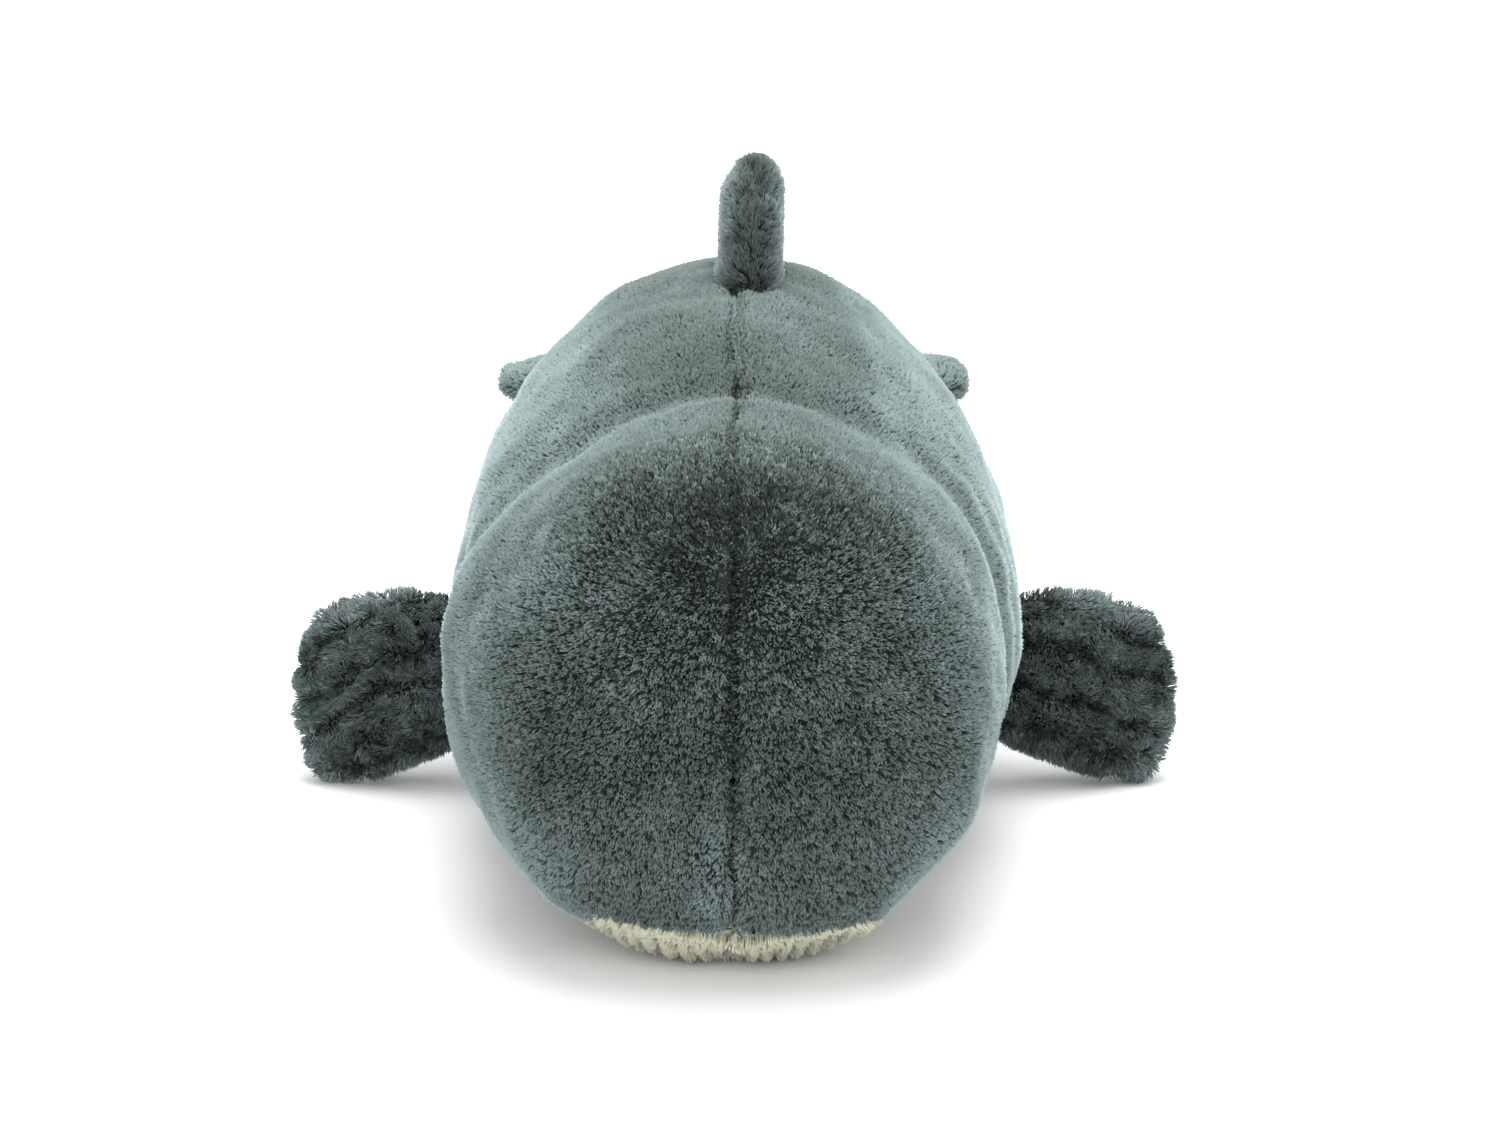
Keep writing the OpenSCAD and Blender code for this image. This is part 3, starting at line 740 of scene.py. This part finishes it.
S_LEFT, S_RIGHT, S_BELLY = (outward(P, middle_line(P)) for P in (left, right, belly))
N_LEFT, N_RIGHT, N_BELLY = normals(left, S_LEFT), normals(right, S_RIGHT), normals(belly, S_BELLY)
rib_height = (1.3 * rib_wave(belly) - 0.6) * smooth((1 - np.abs(belly_q)) * 12)
ribbed = belly + N_BELLY * rib_height[..., None]
ribbed[..., 2] = np.maximum(ribbed[..., 2], 1.0)

# Each moving part's parent, and the two places, in metres, between which it comes to follow its own body
# instead of its parent.
FOLDS = {"tail": ("body", (0, 0.098, 0.109), (0, 0.186, 0.109)),
         "dorsal_fin": ("body", (0.0072, -0.01, 0.243), (0.0072, -0.01, 0.262)),
         "flukes": ("tail", (0, 0.192, 0.116), (0, 0.226, 0.116))}


def follow(ob, body):
    """A soft piece of a part listed in FOLDS has its placement baked into its mesh; any other is attached to
    its part's body, so skin, pile and filling move together.
    """
    if body in FOLDS:
        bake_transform(ob)
    else:
        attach(ob, body)


panel_left = grid_object("plush_panel_left", left, S_LEFT, M_GREY)
panel_right = grid_object("plush_panel_right", right, S_RIGHT, M_GREY)
panel_belly = grid_object("ribbed_belly_panel", ribbed, S_BELLY, M_CREAM)
for ob, nodes in ((panel_left, ("body_panel_left", "tail_panel_left")),
                  (panel_right, ("body_panel_right", "tail_panel_right")),
                  (panel_belly, ("belly_panel", "tail_belly_panel"))):
    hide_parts(*nodes)
    follow(ob, "tail")


def part(lo, hi, *grids):
    """The rows of body grids, points first, between two distances from the nose."""
    P = grids[0]
    s = P[:, P.shape[1] // 2, 1] - NOSE
    rows = np.where((s >= lo) & (s <= hi))[0]
    a, b = rows[0], min(rows[-1] + 1, len(s) - 1)
    return [g[a:b + 1] for g in grids]


def free_of_trim(P):
    """Pile density: none under an eye or under the fin, thin along the seam."""
    keep = smooth((eye_distance(P) - 5.8) / 1.6)
    upper = smooth((P[..., 2] - 14) / 8)
    keep *= 1 - upper * (1 - smooth((np.abs(seam_offset(P)) - 0.7) / 0.8))
    fin = (np.abs(P - FIN_BASE) < [9, 36, 40]).all(-1)
    return np.where(fin, 0.0, keep)


def body_comb(p, u):
    """The pile lies backwards on the trunk; on the face it fans out from the brow."""
    s = p[:, 1:2] - NOSE
    face = smooth((0.35 - s / 120) * 2.2)
    fan = unit(np.stack([p[:, 0], np.full(len(p), 12.0), p[:, 2] - 188], 1))
    back = np.stack([p[:, 0] * 0, np.full(len(p), 1.0), np.full(len(p), -0.35)], 1)
    off = seam_offset(p)
    apart = np.stack([np.sign(off) * 2.2 * ridge(off, 3.0), 0 * off, 0 * off], 1)
    return unit(lerp(back, fan, face)) + apart


def seam_side(p):
    """Moves the pile on the two sides of the seam far apart."""
    return np.stack([50 * np.sign(seam_offset(p)), np.zeros(len(p)), np.zeros(len(p))], 1)


def grey_length(p):
    face = smooth((46 - (p[:, 1] - NOSE)) / 20)
    return (5.2 - 0.5 * face + 0.2 * waves(p, 40, 31) - 2.6 * ridge(seam_offset(p), 2.0)
            - 2.0 * ridge(eye_distance(p), 14))


def grey_painted_light(p, u):
    """Painted light and shade in the pile: shade on the brow, face, top of the trunk and seam, rim light on
    the flanks, floor light by the chin, and a lighter patch beside the seam.
    """
    s = p[:, 1] - NOSE
    h = p[:, 2] + 0.45 * np.maximum(s - 30, 0)
    front = smooth((118 - s) / 30)
    # painted shade: the brow and the middle of the face are darker
    brow = front * ridge(p[:, 0], 62) * ridge(h - 192, np.where(h > 192, 28, 22))
    cheek = front * ridge(p[:, 0], 50) * ridge(p[:, 2] - 115, 45)
    # painted rim light: the flanks are lighter, more so on the trunk
    flank_rim_light = smooth((np.abs(u[:, 0]) - 0.35) / 0.35) * (0.45 + 1.15 * smooth((s - 120) / 30))
    # painted shade: the top of the trunk is darker, against the light from above
    top = smooth((s - 112) / 20) * smooth((u[:, 2] - 0.72) / 0.2)
    off = seam_offset(p)
    upper = smooth((p[:, 2] - 20) / 20)
    spot = ridge(off + 7, 7) * ridge(p[:, 2] - 50, 22) * smooth(-u[:, 1] * 2)
    tufts = 0.95 + 0.14 * waves(p, 9, 44)
    # painted light: the lower face away from its middle is lighter, as light bounced up from the floor
    chin = front * smooth((90 - p[:, 2]) / 50) * smooth((np.abs(p[:, 0]) - 40) / 50)
    # painted shade: the strands along the seam's groove are darker
    seam_shade = 2.2 + 2.6 * smooth((p[:, 2] - 95) / 50)
    return (0.1 * waves(p, 90, 41) + 0.35 - (2.6 * brow + 0.8 * cheek) * tufts + 0.85 * flank_rim_light - 0.5 * top
            + 1.1 * chin - (seam_shade + 0.8 * waves(p, 9, 43)) * upper * ridge(off, 2.2) + 1.2 * spot)


def face_vary(p):
    """The pile is most ruffled on the brow and between the brow and the mouth."""
    return 0.8 + 1.3 * ridge(p[:, 0], 75) * ridge(p[:, 2] - 165, 55)


KEEP_L, KEEP_R = free_of_trim(left), free_of_trim(right)
# name, from, to, spacing, strand radius, pull, variation and how much painted shade darkens a strand's foot
BODY_CUTS = [("brow", 0, 18, 0.76, 0.43, 0.44, face_vary, 2),
             ("face", 18, 46, 0.78, 0.45, 0.44, face_vary, 2),
             ("head", 46, 78, 0.84, 0.5, 0.34, face_vary, 2),
             ("cheek", 78, 112, 0.92, 0.6, 0.26, 0.65, 1),
             ("neck", 112, 172, 0.95, 0.66, 0.22, 0.5, 1)]
BODY_CUTS += [(label, lo, hi, 0.96, 0.68, 0.22, 0.5, 1) for label, lo, hi in
              (("trunk", 172, 246), ("back", 246, 322), ("rear", 322, 380), ("tail", 380, 470))]
for k, (label, lo, hi, gap, thick, pull, vary, dark) in enumerate(BODY_CUTS):
    for side, P, N, K in (("left", left, N_LEFT, KEEP_L), ("right", right, N_RIGHT, KEEP_R)):
        ob = pile(f"pile_{label}_{side}", part(lo, hi, P, N, K), body_comb, grey_length,
                  gap, 2.7, 0.4, pull, GREY_SHADES, 100 + k * 2 + (side == "left"), radius=thick,
                  tone=grey_painted_light, spread=0.6, vary=vary, divide=seam_side, dark=dark)
        follow(ob, "tail" if hi > 350 else "body")

# Cream pile stands on the ribs only.
rib_keep = np.clip((rib_wave(belly) - 0.1) * 1.8, 0, 1)


def cream_length(p):
    front = smooth((70 - (p[:, 1] - NOSE)) / 30)
    rear = smooth(((p[:, 1] - NOSE) - 300) / 40)
    return 3.4 + 1.8 * np.maximum(front, rear) + 0.9 * rib_wave(p)


def cream_comb(p, u):
    chin = smooth((80 - (p[:, 1] - NOSE)) / 60)
    return np.stack([p[:, 0] * 0.018 * chin, -np.ones(len(p)), -0.5 - 0.5 * chin], 1)


for label, lo, hi, gap in (("front", 12, 80, 0.62), ("middle", 80, 300, 1.4), ("rear", 300, 470, 1.05)):
    ob = pile(f"ribbed_pile_{label}", part(lo, hi, ribbed, N_BELLY, rib_keep), cream_comb, cream_length,
              gap, 2.2, 0.55, 0.2, CREAM_SHADES, 140 + lo, radius=0.5 * gap + 0.1, soft=0.8, spread=0.3)
    follow(ob, "tail" if hi > 300 else "body")


# ---- fin, flippers and flukes ---------------------------------------------------------------

def fin_point(u, v, side, inset):
    h = (u + 1) / 2
    lead = 212 + 52 * h**1.6 + inset
    trail = 212 + 80 - 6 * np.sin(math.pi * h) + 7 * h - inset
    thick = 13.5 - inset
    foot = np.sqrt(np.clip(1 - np.maximum(1 - h * 54 / 6, 0) ** 2, 0, 1))
    tip = np.sqrt(np.maximum(1 - h**8, 0))
    puff = np.sqrt(np.maximum(1 - np.abs(v) ** 4, 0))
    x = 6 + 4 * h + side * thick * foot * tip * puff
    z = 229 + inset + (57.5 - 2 * inset) * h * (1 - 0.1 * np.abs(v) ** 3 * h)
    return np.stack([x, NOSE + lerp(lead, trail, (v + 1) / 2) + 0 * x, z + 0 * x], -1)


ROOT_LOW = np.array([111.0, NOSE + 229, 24])
ROOT_HIGH = np.array([135.0, NOSE + 252, 84])
TIP_LOW = np.array([192.0, NOSE + 236, 4])
ROOT_DIR = unit(ROOT_HIGH - ROOT_LOW)
ROOT_LENGTH = float(np.linalg.norm(ROOT_HIGH - ROOT_LOW))
REACH = unit(TIP_LOW - ROOT_LOW - ROOT_DIR * float((TIP_LOW - ROOT_LOW) @ ROOT_DIR))
FACE = unit(np.cross(REACH, ROOT_DIR))


def flipper_point(u, v, side, deep, inset=3.6, sewn=16.0):
    """The outline is drawn in less than the faces, because the pile at the edge is parted. The root
    reaches in through the body's skin by the length sewn."""
    w, t = (u + 1) / 2, (v + 1) / 2
    rr = np.maximum(lerp(4.5, 9, v * v) - inset, 0.9)
    out = lerp(1, 0.7, t) * 90 + 10 * (1 - v * v) * (1 + 0.35 * v) - inset
    corner = w**9
    low = 3 - 5.5 * smooth(w / 0.5) + 12 * w**6 + inset
    high = ROOT_LENGTH - 3 + 24 * (1 - (1 - w) ** 2) - 4 * corner - inset
    thick = 13.5 - deep
    rw = lerp(-rr - sewn, out, w)
    from_root = rw + sewn
    foot = np.where(from_root < 0, np.sqrt(np.maximum(rr**2 - from_root**2, 0)),
                    lerp(rr, thick, smooth(from_root / (30 + sewn))))
    tip = np.sqrt(np.maximum(1 - w**7, 0))
    puff = np.sqrt(np.maximum(1 - np.abs(v) ** 3, 0))
    return (ROOT_LOW + ROOT_DIR * lerp(low, high, t)[..., None] + REACH * rw[..., None]
            + FACE * side * (foot * tip * puff)[..., None])


def fluke_point(u, v, side, deep, inset=1.8):
    w = np.abs(u)
    sweep = np.clip((w - 0.2) / 0.8, 0, 1) ** 1.8
    lead = 457 + 28 * sweep + inset
    trail = 506 + 14 * smooth(w / 0.6) - 11 * smooth((w - 0.75) / 0.25) - inset
    tip = np.sqrt(np.maximum(1 - w**14, 0))
    puff = np.sqrt(np.maximum(1 - v * v, 0))
    s = lerp(lead, np.maximum(trail, lead + 0.5), (v + 1) / 2)
    rise = math.tan(math.radians(7)) * (s - 470) + 4 * w * w
    z = 116 + rise + side * (13 - deep) * tip * puff
    return np.stack([(124 - inset) * u + 0 * s, NOSE + s, z], -1)


def pad_grids(point, nu, nv, deep, mirror=False, **more):
    u, v = sine_steps(nu)[:, None] + np.zeros((1, nv + 1)), sine_steps(nv)[None] + np.zeros((nu + 1, 1))
    grids = [point(u, v, side, deep, **more) for side in (1, -1)]
    return [g * [-1, 1, 1] for g in grids] if mirror else grids


def middle_of(grids):
    return np.mean([g.reshape(-1, 3).mean(0) for g in grids], 0)


def signs_of(grids):
    return [outward(g, middle_of(grids)) for g in grids]


def rim_distance(P):
    """Rough distance of each grid point from the pad's edge seam, along the grid."""
    step_u = np.linalg.norm(np.diff(P, axis=0), axis=-1)
    step_v = np.linalg.norm(np.diff(P, axis=1), axis=-1)
    du = np.vstack([np.zeros(P.shape[1]), np.cumsum(step_u, 0)])
    dv = np.hstack([np.zeros((P.shape[0], 1)), np.cumsum(step_v, 1)])
    return np.minimum(du[-1] - du, np.minimum(dv, dv[:, -1:] - dv))


def halfway(P):
    """The row that halves a grid's length."""
    steps = np.linalg.norm(np.diff(P[:, P.shape[1] // 2], axis=0), axis=1)
    return int(np.searchsorted(np.cumsum(steps), steps.sum() / 2))


def pad(name, point, nu, nv, inset, mirror, labels, backing, replaces, shades, comb,
        length, spacing, clump, lean, pull, seed, bend, radius, tone=0.0, soft=0.75, spread=0.35,
        halves=False, vary=1.0, dark=2):
    """The outside of one stuffed part: an inflated skin in two panels, its seam and its pile. With
    halves, the pile of each panel is two pieces."""
    coarse = pad_grids(point, nu // 2, nv // 2, inset, mirror)
    mid, signs = middle_of(coarse), signs_of(coarse)
    field = swell(name + "_cloth", coarse, signs, 4.0, 4.0, 4.0)
    for P, sign, label, node in zip(pad_grids(point, nu, nv, inset, mirror), signs, labels, replaces):
        d = rim_distance(P)
        P = moved(P, field)
        N = normals(P, sign)
        centre = unit(P - mid)
        edge = ridge(d, 2.4)[..., None]
        sink = 0.5 * waves(P, 30, seed) + 0.3 * waves(P, 13, seed + 1)
        P = P - N * (sink * smooth(d / 6))[..., None] - unit(lerp(N, centre, edge)) * edge * 1.1
        P[..., 2] = np.maximum(P[..., 2], 1.0)
        N = normals(P, sign)
        ob = grid_object(f"{name}_{label}", P, sign, backing)
        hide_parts(node)
        follow(ob, name)
        keep = np.clip(0.55 + d / 3.0, 0, 1)
        k = halfway(P)
        for a, b, tail in [(0, k + 1, "_a"), (k, len(P), "_b")] if halves else [(0, len(P), "")]:
            draw = seed + 7 * (node == replaces[1]) + 13 * (a > 0)
            ob = pile(f"{name}_{label}_pile{tail}", (P[a:b], N[a:b], keep[a:b]), comb, length, spacing,
                      clump, lean, pull, shades, draw, radius, bend, tone, soft, spread, vary, dark=dark)
            follow(ob, name)


def at(p):
    return tuple(float(c) * MM for c in p)


def fin_comb(p, u):
    return np.stack([u[:, 0] * 0.2, np.full(len(p), 0.8), np.full(len(p), 0.7)], 1)


def fin_painted_rim_light(p, u):
    """Painted rim light: the fin's sides are lighter than the pile along its seam."""
    lean = 4 * (p[:, 2] - FIN_BASE[2]) / 50
    side = smooth((np.abs(p[:, 0] - FIN_BASE[0] - lean) - 3) / 7)
    return 2.8 * side - 1.1


pad("dorsal_fin", fin_point, 30, 36, BASE, False, ("panel_left", "panel_right"), M_LONG,
    ("dorsal_fin_panel_left", "dorsal_fin_panel_right"), LONG_SHADES, fin_comb,
    length=6.0, spacing=0.68, clump=3.2, lean=0.45, pull=0.5, seed=200, bend=True, radius=0.4,
    tone=fin_painted_rim_light)


def flipper_height(p, sign):
    """Distance up the root seam, a little wavy."""
    up = (p - ROOT_LOW * [sign, 1, 1]) @ (ROOT_DIR * [sign, 1, 1])
    return up + 2.5 * waves(p, 38, 71 if sign > 0 else 72)


def flipper_comb(sign):
    """The pile lies outwards along the flipper, and up or down away from the nearest parting."""
    along_fin = REACH * [sign, 1, 1]
    root_up = ROOT_DIR * [sign, 1, 1]

    def comb(p, u):
        h = flipper_height(p, sign)
        fan = np.sin(2 * math.pi * (h - 14) / 18)[:, None]
        swirl = 0.7 * waves(p, 15, 61 if sign > 0 else 62)[:, None]
        cross = 0.6 * waves(p, 15, 63 if sign > 0 else 64)[:, None]
        return along_fin * (0.35 + swirl) + root_up * (0.9 * fan - 0.2 + cross)
    return comb


def parting(p, sign):
    """1 on the partings that run across the flipper, and 0 between them."""
    h = flipper_height(p, sign)
    return np.maximum.reduce([ridge(h - c, 2.6) for c in (14, 32, 50, 68)])


def flipper_edge(p, sign):
    """0 over the middle of the flipper, and 1 along its outer edges."""
    q = p * [sign, 1, 1] - ROOT_LOW
    out, h = q @ REACH, q @ ROOT_DIR
    return np.maximum.reduce([smooth((out - 66) / 20), smooth((h - 66) / 12), smooth((10 - h) / 9)])


def flipper_length(sign):
    """Shorter on the partings, which run out before the edge."""
    def length(p):
        return 6.9 + 0.3 * waves(p, 20, 73) - 3.0 * parting(p, sign) * (1 - 0.8 * flipper_edge(p, sign))
    return length


def flipper_painted_light(sign):
    """Painted shade on the partings and painted rim light along the edge, where strands stand outwards."""
    def tone(p, u):
        edge = flipper_edge(p, sign)
        return 0.3 * waves(p, 14, 75) - 0.45 - 1.1 * parting(p, sign) * (1 - edge) + 2.2 * edge
    return tone


for sign, side in ((1, "left"), (-1, "right")):
    root = (ROOT_LOW + ROOT_HIGH) / 2 * [sign, 1, 1]
    reach = REACH * [sign, 1, 1]
    names = [f"flipper_{side}_front_panel", f"flipper_{side}_back_panel"]
    FOLDS[f"flipper_{side}"] = ("body", at(root - reach * 4), at(root + reach * 22))
    pad(f"flipper_{side}", flipper_point, 40, 40, 6.2, sign < 0, ("front", "back"), M_LONG,
        names, LONG_SHADES, flipper_comb(sign),
        length=flipper_length(sign), spacing=0.61, clump=2.4, lean=0.45, pull=0.34, seed=210 + sign,
        bend=True, radius=0.36, tone=flipper_painted_light(sign), soft=0.85, spread=0.5, halves=True, vary=1.5)


def fluke_comb(p, u):
    return np.stack([p[:, 0] * 0.012, np.full(len(p), 1.0), np.full(len(p), 0.1)], 1)


# painted light: tone=2.5 gives the flukes the lightest shades of the same grey plush as the body
pad("flukes", fluke_point, 84, 30, BASE, False, ("upper", "lower"), M_GREY,
    ("fluke_upper_panel", "fluke_lower_panel"), GREY_SHADES, fluke_comb,
    length=5.0, spacing=0.92, clump=3.2, lean=0.5, pull=0.35, seed=230, bend=False, radius=0.56,
    tone=2.5, halves=True, dark=1)


# ---- fillings -------------------------------------------------------------------------------

def filling(name, grids, signs, nodes, body, lumps=2.0, seed=300):
    """Fibre filling: a closed lumpy body, a little smaller than the skin around it."""
    ob = closed_object(name, grids, signs, [M_FIBRE])
    n = len(ob.data.vertices)
    co, nr = np.empty(n * 3, np.float32), np.empty(n * 3, np.float32)
    ob.data.vertices.foreach_get("co", co)
    ob.data.vertices.foreach_get("normal", nr)
    co, nr = co.reshape(-1, 3) / MM, nr.reshape(-1, 3)
    co = co - nr * (lumps * (0.5 + 0.5 * np.tanh(waves(co, 16, seed))))[:, None]
    ob.data.vertices.foreach_set("co", (co * MM).astype(np.float32).ravel())
    ob.data.update()
    ob.data.polygons.foreach_set("use_smooth", np.ones(len(ob.data.polygons), bool))
    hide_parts(nodes)
    follow(ob, body)


def pouch_room(s):
    """The filling begins above this height, over the pouch."""
    return 4 + 20 * smooth((s - 38) / 20) * smooth((302 - s) / 20)


head_rings = 60 * (1 - np.cos(np.linspace(0.5, math.pi / 2, 12)))
core = rings(np.concatenate([head_rings, np.arange(66, 340, 6.0)]), 72, 18.0, lambda s: pouch_room(s) + 5)
filling("body_filling", [core], [outward(core, middle_line(core))], "body_stuffing", "body")
rear = rings(np.arange(349, 449, 6.0), 60, 13.0)
filling("tail_filling", [rear], [outward(rear, middle_line(rear))], "tail_stuffing", "tail", seed=301)
for name, body, point, mirror, nu, nv, inset, more in (
        ("dorsal_fin", "dorsal_fin", fin_point, False, 16, 18, 8.0, {}),
        ("flipper_left", "flipper_left", flipper_point, False, 20, 20, 9.0, {"inset": 11.0, "sewn": 4.0}),
        ("flipper_right", "flipper_right", flipper_point, True, 20, 20, 9.0, {"inset": 11.0, "sewn": 4.0}),
        ("fluke", "flukes", fluke_point, False, 40, 16, 8.5, {"inset": 8.0})):
    pair = pad_grids(point, nu, nv, inset, mirror, **more)
    filling(f"{name}_filling", pair, signs_of(pair), f"{name}_stuffing", body, lumps=0.8, seed=310)


# ---- care label -----------------------------------------------------------------------------

LABEL_WIDTH = 18.0
LABEL_LENGTH = 43.0             # cut length, before it's folded in half
LABEL_SLANT = math.radians(35)
LABEL_GAP = 0.5                 # half the distance between its two layers
LABEL_TURN = 0.6                # half the length of ribbon in the fold


def care_label():
    """A blank satin ribbon, folded in half and sewn into the belly seam by its two ends."""
    lo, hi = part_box("care_label")
    lo, hi = np.array(lo) / MM, np.array(hi) / MM
    start = np.array([lo[0] + 1.0, (lo[1] + hi[1]) / 2, hi[2] - 2.0])
    out = unit([math.cos(LABEL_SLANT), 0.0, -math.sin(LABEL_SLANT)])
    up = unit([math.sin(LABEL_SLANT), 0.0, math.cos(LABEL_SLANT)])
    fold = LABEL_LENGTH / 2
    steps = np.linspace(0, 1, 61)
    rows = []
    for q in steps:
        run = 2 * fold * q
        if run < fold - LABEL_TURN:
            d, h = run, LABEL_GAP
        elif run > fold + LABEL_TURN:
            d, h = 2 * fold - run, -LABEL_GAP
        else:
            a = (run - fold) / LABEL_TURN * math.pi / 2
            d, h = fold - LABEL_GAP + LABEL_GAP * math.cos(a), -LABEL_GAP * math.sin(a)
        sag = 0.0012 * d * d
        rows.append(start + out * d + up * (h * (0.35 + 0.65 * min(d / 6, 1)) - sag))
    half = LABEL_WIDTH / 2
    w = np.linspace(-half, half, 13)
    P = np.array(rows)[:, None] + np.array([0, 1.0, 0]) * w[None, :, None]
    ripple = 0.35 * np.sin(w / half * 2.2 + 0.5) * (smooth(steps * 3) * smooth((1 - steps) * 3))[:, None]
    ob = grid_object("care_label_ribbon", P + up * ripple[..., None], 1, M_SATIN)
    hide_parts("care_label")
    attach(ob, "body")


care_label()

# ---- parts that stay as they are ------------------------------------------------------------

for node, material in (("eye_left", M_EYE), ("eye_right", M_EYE), ("eye_washer_left", M_WASHER),
                       ("eye_washer_right", M_WASHER), ("pouch_upper_panel", M_COTTON),
                       ("pouch_lower_panel", M_COTTON), ("pouch_pellets", M_PELLETS)):
    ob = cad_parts[node]
    for s in ob.material_slots:
        s.material = material

# ---- floor, light and camera ----------------------------------------------------------------

M_FLOOR, _, _, floor_shader = new_material("floor_white", 0.9, spec=0.0)
floor_shader.inputs["Base Color"].default_value = (0.93, 0.93, 0.93, 1)
FLOOR_CORNERS = [(-6000, -4000, 0), (6000, -4000, 0), (6000, 9000, 0), (-6000, 9000, 0)]
floor = mesh_object("floor", np.array(FLOOR_CORNERS, float), [[0, 1, 2, 3]], [M_FLOOR])

world = bpy.data.worlds.new("studio")
bpy.context.scene.world = world
world.use_nodes = True
world.node_tree.nodes["Background"].inputs["Color"].default_value = (1, 1, 1, 1)
world.node_tree.nodes["Background"].inputs["Strength"].default_value = 1.2


def aim(ob, target):
    ob.rotation_euler = (Vector(target) - ob.location).to_track_quat("-Z", "Y").to_euler()


def area_light(name, place, target, size, energy):
    data = bpy.data.lights.new(name, "AREA")
    data.shape = "DISK"
    data.size = size
    data.energy = energy
    ob = bpy.data.objects.new(name, data)
    bpy.context.scene.collection.objects.link(ob)
    ob.location = place
    aim(ob, target)


area_light("top_light", (0.1, 0.4, 2.2), (0, 0, 0.1), 1.8, 44)

camera = bpy.data.objects.new("camera", bpy.data.cameras.new("camera"))
bpy.context.scene.collection.objects.link(camera)
camera.data.lens = 85
camera.data.sensor_width = 36
camera.data.shift_x = 0.0105
camera.location = (0, -1.56, 0.60)
aim(camera, (0, -0.06, 0.118))
bpy.context.scene.camera = camera
bpy.context.scene.view_settings.view_transform = "Standard"
